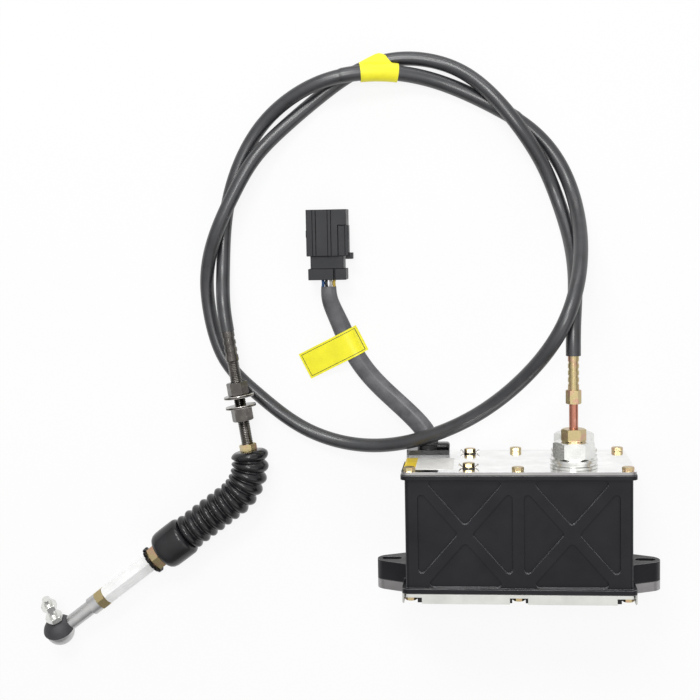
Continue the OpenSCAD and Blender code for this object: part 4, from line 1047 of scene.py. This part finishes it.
class ACTUATOR_OT_hub_thread(bpy.types.Operator):
    """Cut the fine thread of the bulkhead hub"""

    bl_idname = "actuator.hub_thread"
    bl_label = "Hub thread"

    def execute(self, context):
        low, high = box_of("bulkhead_hub")
        radius = (high.z - low.z) / 2
        centre = (low + high) / 2
        half = half_length("bulkhead_hub")
        side = Vector((HUB_UP.y, -HUB_UP.x, 0))
        pitch = HUB_THREAD_PITCH * MM
        count = int(2 * half / pitch * HUB_THREAD_STEPS)
        rings = []
        for i in range(count + 1):
            s = -half + 2 * half * i / count
            ring = []
            for a in around(HUB_SIDES):
                turn = (s / pitch - a / (2 * math.pi)) % 1.0
                groove = HUB_THREAD_DEPTH * MM * (1 - abs(2 * turn - 1))
                out = math.cos(a) * side + math.sin(a) * Vector((0, 0, 1))
                ring.append(centre + s * HUB_UP + (radius - groove) * out)
            rings.append(ring)
        piece = skin("threaded_hub", rings)
        smooth(piece, 25)
        dress(piece, FINISHES["dark_steel"], "actuator", "bulkhead_hub")
        return {"FINISHED"}


# Tag round the cable, in millimetres, and the outline of its torn flap as shares of length and height
CABLE_TAG_X = -93.0
CABLE_TAG_LENGTH = 27.0
CABLE_TAG_FLAP = 7.0
FLAP_OUTLINE = ((0.0, 0.1), (0.48, 1.0), (0.64, 0.9), (0.8, 0.08), (1.0, 0.06))
FLAP_GAP = 0.3
FLAP_STEPS = 6
WRAP_OPENING = math.radians(6)
WRAP_STEPS = 32
TAG_THICKNESS = 0.4


def sheet_piece(name, rows, thickness):
    """A thin closed sheet over a grid of points."""
    count = len(rows[0])
    faces = []
    for i in range(len(rows) - 1):
        for j in range(count - 1):
            faces.append((i * count + j, i * count + j + 1, (i + 1) * count + j + 1, (i + 1) * count + j))
    piece = new_piece(name, [v for row in rows for v in row], faces)
    solid = piece.modifiers.new("sheet", "SOLIDIFY")
    solid.thickness = thickness
    solid.offset = 0.0
    apply_modifiers(piece)
    mend_mesh(piece)
    smooth(piece, 40)
    return piece


def wrap_section(radius, flap):
    """A band round the cable with its two ends laid together as a flap, in millimetres."""
    places = [radius + k * (flap - radius) / FLAP_STEPS for k in range(FLAP_STEPS + 1)]
    section = [(place, FLAP_GAP) for place in reversed(places)]
    for k in range(WRAP_STEPS + 1):
        a = WRAP_OPENING + 2 * (math.pi - WRAP_OPENING) * k / WRAP_STEPS
        section.append((radius * math.cos(a), radius * math.sin(a)))
    return section + [(place, -FLAP_GAP) for place in places]


# Tag on the wiring lead, in millimetres: length and width, its lift over the sleeve, its least height
# over the table, and its dark line: distance from the edge and width, then colour
LEAD_TAG_TURN = math.radians(26.4)
LEAD_TAG_SIZE = (47.0, 20.0)
LEAD_TAG_STEPS = (40, 10)
LEAD_TAG_LIFT = 0.6
LEAD_TAG_LEAST = 1.0
LEAD_TAG_BORDER = (1.6, 0.45)
LEAD_TAG_LINE = (0.05, 0.05, 0.03)

# Part of the sleeve's half width that the tag lies on, and its slopes to the left and right of it
TAG_LAID = (-0.35, 0.9)
TAG_SLOPES = (0.19, 1.4)


def lead_tag_vinyl(colour, centre):
    """Yellow vinyl with a thin dark line inside its edge."""
    n = Nodes("lead_tag_vinyl")
    place = n.add("ShaderNodeMapping", vector_type="TEXTURE")
    place.inputs["Location"].default_value = centre
    place.inputs["Rotation"].default_value = (0, 0, LEAD_TAG_TURN)
    n.link(n.place, place.inputs["Vector"])
    axes = n.split(place.outputs["Vector"])
    edge, width = LEAD_TAG_BORDER
    depths = [
        n.math("SUBTRACT", (size / 2 - edge) * MM, n.math("ABSOLUTE", axes[axis], 0))
        for axis, size in zip("XY", LEAD_TAG_SIZE)
    ]
    depth = n.math("MINIMUM", *depths)
    line = n.math("LESS_THAN", n.math("ABSOLUTE", depth, 0), width / 2 * MM)
    n.colour(n.mix(line, vinyl_sheet(n, colour), LEAD_TAG_LINE))
    return n.material


def flap_share(share):
    """Height of the cable tag's torn flap, from its left end at 0 to its right end at 1."""
    for (start, low), (end, high) in zip(FLAP_OUTLINE, FLAP_OUTLINE[1:]):
        if share <= end:
            return low + (high - low) * (max(share, 0) - start) / (end - start)
    return FLAP_OUTLINE[-1][1]


class ACTUATOR_OT_tags(bpy.types.Operator):
    """Fold the two yellow vinyl tags round the cable and the wiring lead"""

    bl_idname = "actuator.tags"
    bl_label = "Vinyl tags"

    def cable_tag(self, sizes):
        """The band round the second turn, with its two ends laid together as a flap."""
        line = conduit_line(sizes.steps)
        middle = min(second_turn(line), key=lambda i: abs(line[i].x - CABLE_TAG_X * MM))
        radius = sizes.conduit_d / 2 / MM + 2 * SLEEVE_WALL + TAG_THICKNESS
        rows = []
        for i in second_turn(line):
            if abs(line[i].x - line[middle].x) > CABLE_TAG_LENGTH / 2 * MM:
                continue
            ahead = (line[i + 1] - line[i - 1]).normalized()
            side = Vector((ahead.y, -ahead.x, 0)).normalized()
            up = side.cross(ahead)
            share = (line[i].x - line[middle].x) / (CABLE_TAG_LENGTH * MM) + 0.5
            section = wrap_section(radius, radius + CABLE_TAG_FLAP * flap_share(share))
            rows.append([line[i] + MM * (y * side + z * up) for y, z in section])
        piece = sheet_piece("cable_tag_vinyl", rows, TAG_THICKNESS * MM)
        dress(piece, FINISHES["yellow_tag"], "actuator", "cable_tag")

    def lead_tag_height(self, line, place, sizes):
        """Height of the tag over the sleeve: laid on it, turned down at its right, hanging at its left."""
        i = min(range(1, len(line) - 1), key=lambda k: (line[k].xy - place.xy).length)
        ahead = (line[i + 1] - line[i - 1]).normalized()
        offset = (place - line[i]).dot(Vector((ahead.y, -ahead.x, 0)))
        left, right = (share * sizes.sleeve_w / 2 for share in TAG_LAID)
        reach = min(max(offset, left), right) / (sizes.sleeve_w / 2)
        z = line[i].z + sizes.sleeve_t / 2 * math.sqrt(1 - reach * reach) + LEAD_TAG_LIFT * MM
        z -= TAG_SLOPES[0] * max(left - offset, 0.0) + TAG_SLOPES[1] * max(offset - right, 0.0)
        return max(z, LEAD_TAG_LEAST * MM)

    def lead_tag(self, sizes, colour):
        line = lead_line(sizes.steps)
        along = Vector((math.cos(LEAD_TAG_TURN), math.sin(LEAD_TAG_TURN), 0))
        across = Vector((-along.y, along.x, 0))
        centre = middle_of("harness_tag")
        length, width = LEAD_TAG_SIZE
        long_steps, wide_steps = LEAD_TAG_STEPS
        rows = []
        for i in range(long_steps + 1):
            row = []
            for j in range(wide_steps + 1):
                place = centre + MM * length * (i / long_steps - 0.5) * along
                place += MM * width * (j / wide_steps - 0.5) * across
                place.z = self.lead_tag_height(line, place, sizes)
                row.append(place)
            rows.append(row)
        piece = sheet_piece("lead_tag_vinyl", rows, TAG_THICKNESS * MM)
        dress(piece, lead_tag_vinyl(colour, centre), "actuator", "harness_tag")

    def execute(self, context):
        sizes = context.scene.actuator_cables
        self.cable_tag(sizes)
        self.lead_tag(sizes, tuple(context.scene.actuator_colours.tag))
        return {"FINISHED"}


# Blank label on the lid: its corners along X and Z in millimetres, and where its yellow field ends
LABEL_X = (-76.5, -43.0)
LABEL_Z = (35.0, 79.0)
LABEL_FIELD_X = -68.5
LABEL_THICKNESS = 0.2
LABEL_EDGE = 0.08


def label_vinyl():
    """Blank vinyl with a yellow field at its left end and a white one beside it."""
    n = Nodes("label_vinyl")
    field = n.math("LESS_THAN", n.split()["X"], LABEL_FIELD_X * MM)
    cloud = n.noise(150, 3.0)
    white = n.ramp(cloud, [(0.3, (0.78, 0.77, 0.74)), (0.7, (0.84, 0.83, 0.80))])
    yellow = n.ramp(cloud, [(0.3, (0.86, 0.60, 0.015)), (0.7, (0.92, 0.68, 0.03))])
    n.colour(n.mix(field, white, yellow))
    n.roughness(n.spread(cloud, 0.3, 0.42))
    n.bump(n.noise(700, 2.0), 0.00003, 0.4)
    return n.material


class ACTUATOR_OT_label(bpy.types.Operator):
    """Lay the blank two-colour label on the lid"""

    bl_idname = "actuator.label"
    bl_label = "Lid label"

    def execute(self, context):
        top = box_of("lid")[1].y / MM
        low, high = zip(LABEL_X, (top, top + LABEL_THICKNESS), LABEL_Z)
        piece = block("lid_label", low, high, LABEL_EDGE)
        dress(piece, label_vinyl(), "actuator")
        return {"FINISHED"}


# Camera fitted to the photograph: its place in metres, its directions and its focal length in pixels
CAMERA_PLACE = Vector((-0.01773, 0.19748, 0.97824))
CAMERA_LOOK = Vector((-0.1025, -0.09351, -0.99033))
CAMERA_UP = Vector((0.00947, 0.99543, -0.09498))
FRAME_PIXELS = 700
FOCAL_PIXELS = 1357
SENSOR_MM = 36.0
NEAR_CLIP = 0.01

# Lamps: place and target in metres, width and height in metres, and watts
LAMPS = {
    "soft_box": ((-0.3, 1.1, 1.3), (-0.1, 0.15, 0), (0.6, 0.4), 9.5),
    "top_light": ((-0.1, 0.42, 1.6), (-0.1, 0.2, 0), (0.35, 0.35), 7),
    "edge_strip": ((0.0, 1.7, 0.55), (-0.05, 0.1, 0.05), (1.4, 0.3), 4),
    "fill_panel": ((0.9, -0.7, 1.3), (-0.1, 0.1, 0), (1.2, 1.2), 3),
}
LAMP_UP = Vector((0, 1, 0.01))


def turned_to(look, up):
    """World matrix of a lamp or camera that looks along a direction."""
    back = -look.normalized()
    right = up.cross(back).normalized()
    return Matrix((right, back.cross(right), back)).transposed().to_4x4()


def area_lamp(name, place, target, size, watts):
    lamp = bpy.data.lights.new(name, "AREA")
    lamp.shape = "RECTANGLE"
    lamp.size, lamp.size_y = size
    lamp.energy = watts
    piece = bpy.data.objects.new(name, lamp)
    bpy.context.scene.collection.objects.link(piece)
    look = Vector(target) - Vector(place)
    piece.matrix_world = Matrix.Translation(place) @ turned_to(look, LAMP_UP)


# Table in metres, how much of its colour is plain white to the camera, and the light from all round
TABLE_SIZE = 8
TABLE_DROP = 0.0002
FLOOR_WHITE = 0.88
STUDIO_LEVEL = 0.42

# The studio that metal mirrors: white above and beyond the object, greyer at its sides and front
SKY_WAY = (0, 0.35, 0.94)
SKY_RANGE = (0.1, 0.8, 0.3, 1.0)


def seen_directly(tree):
    """1 where the camera, a mirror or a clear piece looks at the stage, 0 for the light that it sheds."""
    path = tree.nodes.new("ShaderNodeLightPath").outputs
    seen = path["Is Camera Ray"]
    for name in ("Is Glossy Ray", "Is Transmission Ray"):
        either = tree.nodes.new("ShaderNodeMath")
        either.operation = "MAXIMUM"
        tree.links.new(seen, either.inputs[0])
        tree.links.new(path[name], either.inputs[1])
        seen = either.outputs["Value"]
    return seen


def floor_material():
    """A pale table that stays near white to the camera and keeps the object's shadow."""
    n = Nodes("pale_table")
    n.colour(n.ramp(n.noise(6, 2.0), [(0.3, (0.86, 0.86, 0.87)), (0.7, (0.9, 0.9, 0.9))]))
    n.set(Roughness=0.75, IOR=1.3)
    glow = n.add("ShaderNodeEmission")
    mix = n.add("ShaderNodeMixShader")
    n.link(n.math("MULTIPLY", seen_directly(n.tree), FLOOR_WHITE), mix.inputs["Fac"])
    n.link(n.shader.outputs["BSDF"], mix.inputs[1])
    n.link(glow.outputs["Emission"], mix.inputs[2])
    n.link(mix.outputs["Shader"], n.tree.nodes["Material Output"].inputs["Surface"])
    return n.material


def studio_world():
    """Plain soft light all round, white where the camera or a mirror looks at it."""
    world = bpy.data.worlds.new("studio")
    world.use_nodes = True
    tree = world.node_tree
    background = tree.nodes["Background"]
    background.inputs["Color"].default_value = (1, 1, 1, 1)
    way = tree.nodes.new("ShaderNodeVectorMath")
    way.operation = "DOT_PRODUCT"
    way.inputs[1].default_value = SKY_WAY
    tree.links.new(tree.nodes.new("ShaderNodeTexCoord").outputs["Generated"], way.inputs[0])
    sky = tree.nodes.new("ShaderNodeMapRange")
    for name, value in zip(RANGE_SOCKETS, SKY_RANGE):
        sky.inputs[name].default_value = value
    tree.links.new(way.outputs["Value"], sky.inputs["Value"])
    level = tree.nodes.new("ShaderNodeMapRange")
    level.inputs["To Min"].default_value = STUDIO_LEVEL
    tree.links.new(sky.outputs["Result"], level.inputs["To Max"])
    tree.links.new(seen_directly(tree), level.inputs["Value"])
    tree.links.new(level.outputs["Result"], background.inputs["Strength"])
    world.cycles.sampling_method = "NONE"
    return world


class ACTUATOR_OT_stage(bpy.types.Operator):
    """Set up the pale table, the soft light and the camera"""

    bl_idname = "actuator.stage"
    bl_label = "Stage"

    def execute(self, context):
        scene = context.scene
        deselect_all()
        bpy.ops.mesh.primitive_plane_add(size=TABLE_SIZE, location=(0, 0, -TABLE_DROP))
        table = context.object
        table.name = "pale_table"
        table.data.materials.append(floor_material())
        camera = bpy.data.cameras.new("photo_camera")
        camera.sensor_width = SENSOR_MM
        camera.lens = FOCAL_PIXELS / FRAME_PIXELS * SENSOR_MM
        camera.clip_start = NEAR_CLIP
        holder = bpy.data.objects.new("photo_camera", camera)
        scene.collection.objects.link(holder)
        holder.matrix_world = Matrix.Translation(CAMERA_PLACE) @ turned_to(CAMERA_LOOK, CAMERA_UP)
        scene.camera = holder
        for name, settings in LAMPS.items():
            area_lamp(name, *settings)
        scene.world = studio_world()
        scene.view_settings.view_transform = "Standard"
        return {"FINISHED"}


class ACTUATOR_PT_panel(bpy.types.Panel):
    """Lists the pieces of the actuator's dressing"""

    bl_idname = "ACTUATOR_PT_panel"
    bl_label = "Governor actuator"
    bl_space_type = "VIEW_3D"
    bl_region_type = "UI"
    bl_category = "Actuator"

    def draw(self, context):
        for step in STEPS:
            self.layout.operator(step.bl_idname)
        for group in (context.scene.actuator_cables, context.scene.actuator_colours):
            for name in group.__annotations__:
                self.layout.prop(group, name)


STEPS = (
    ACTUATOR_OT_finishes,
    ACTUATOR_OT_edges,
    ACTUATOR_OT_bellows,
    ACTUATOR_OT_dust_cap,
    ACTUATOR_OT_hub_thread,
    ACTUATOR_OT_wires,
    ACTUATOR_OT_tags,
    ACTUATOR_OT_conduit,
    ACTUATOR_OT_lead,
    ACTUATOR_OT_label,
    ACTUATOR_OT_stage,
)
CLASSES = (CableSizes, FinishColours, *STEPS, ACTUATOR_PT_panel)


def register():
    for cls in CLASSES:
        bpy.utils.register_class(cls)
    bpy.types.Scene.actuator_cables = PointerProperty(type=CableSizes)
    bpy.types.Scene.actuator_colours = PointerProperty(type=FinishColours)


def unregister():
    del bpy.types.Scene.actuator_cables
    del bpy.types.Scene.actuator_colours
    for cls in reversed(CLASSES):
        bpy.utils.unregister_class(cls)


def main():
    register()
    for step in STEPS:
        group, name = step.bl_idname.split(".")
        getattr(getattr(bpy.ops, group), name)()


if __name__ == "__main__":
    main()
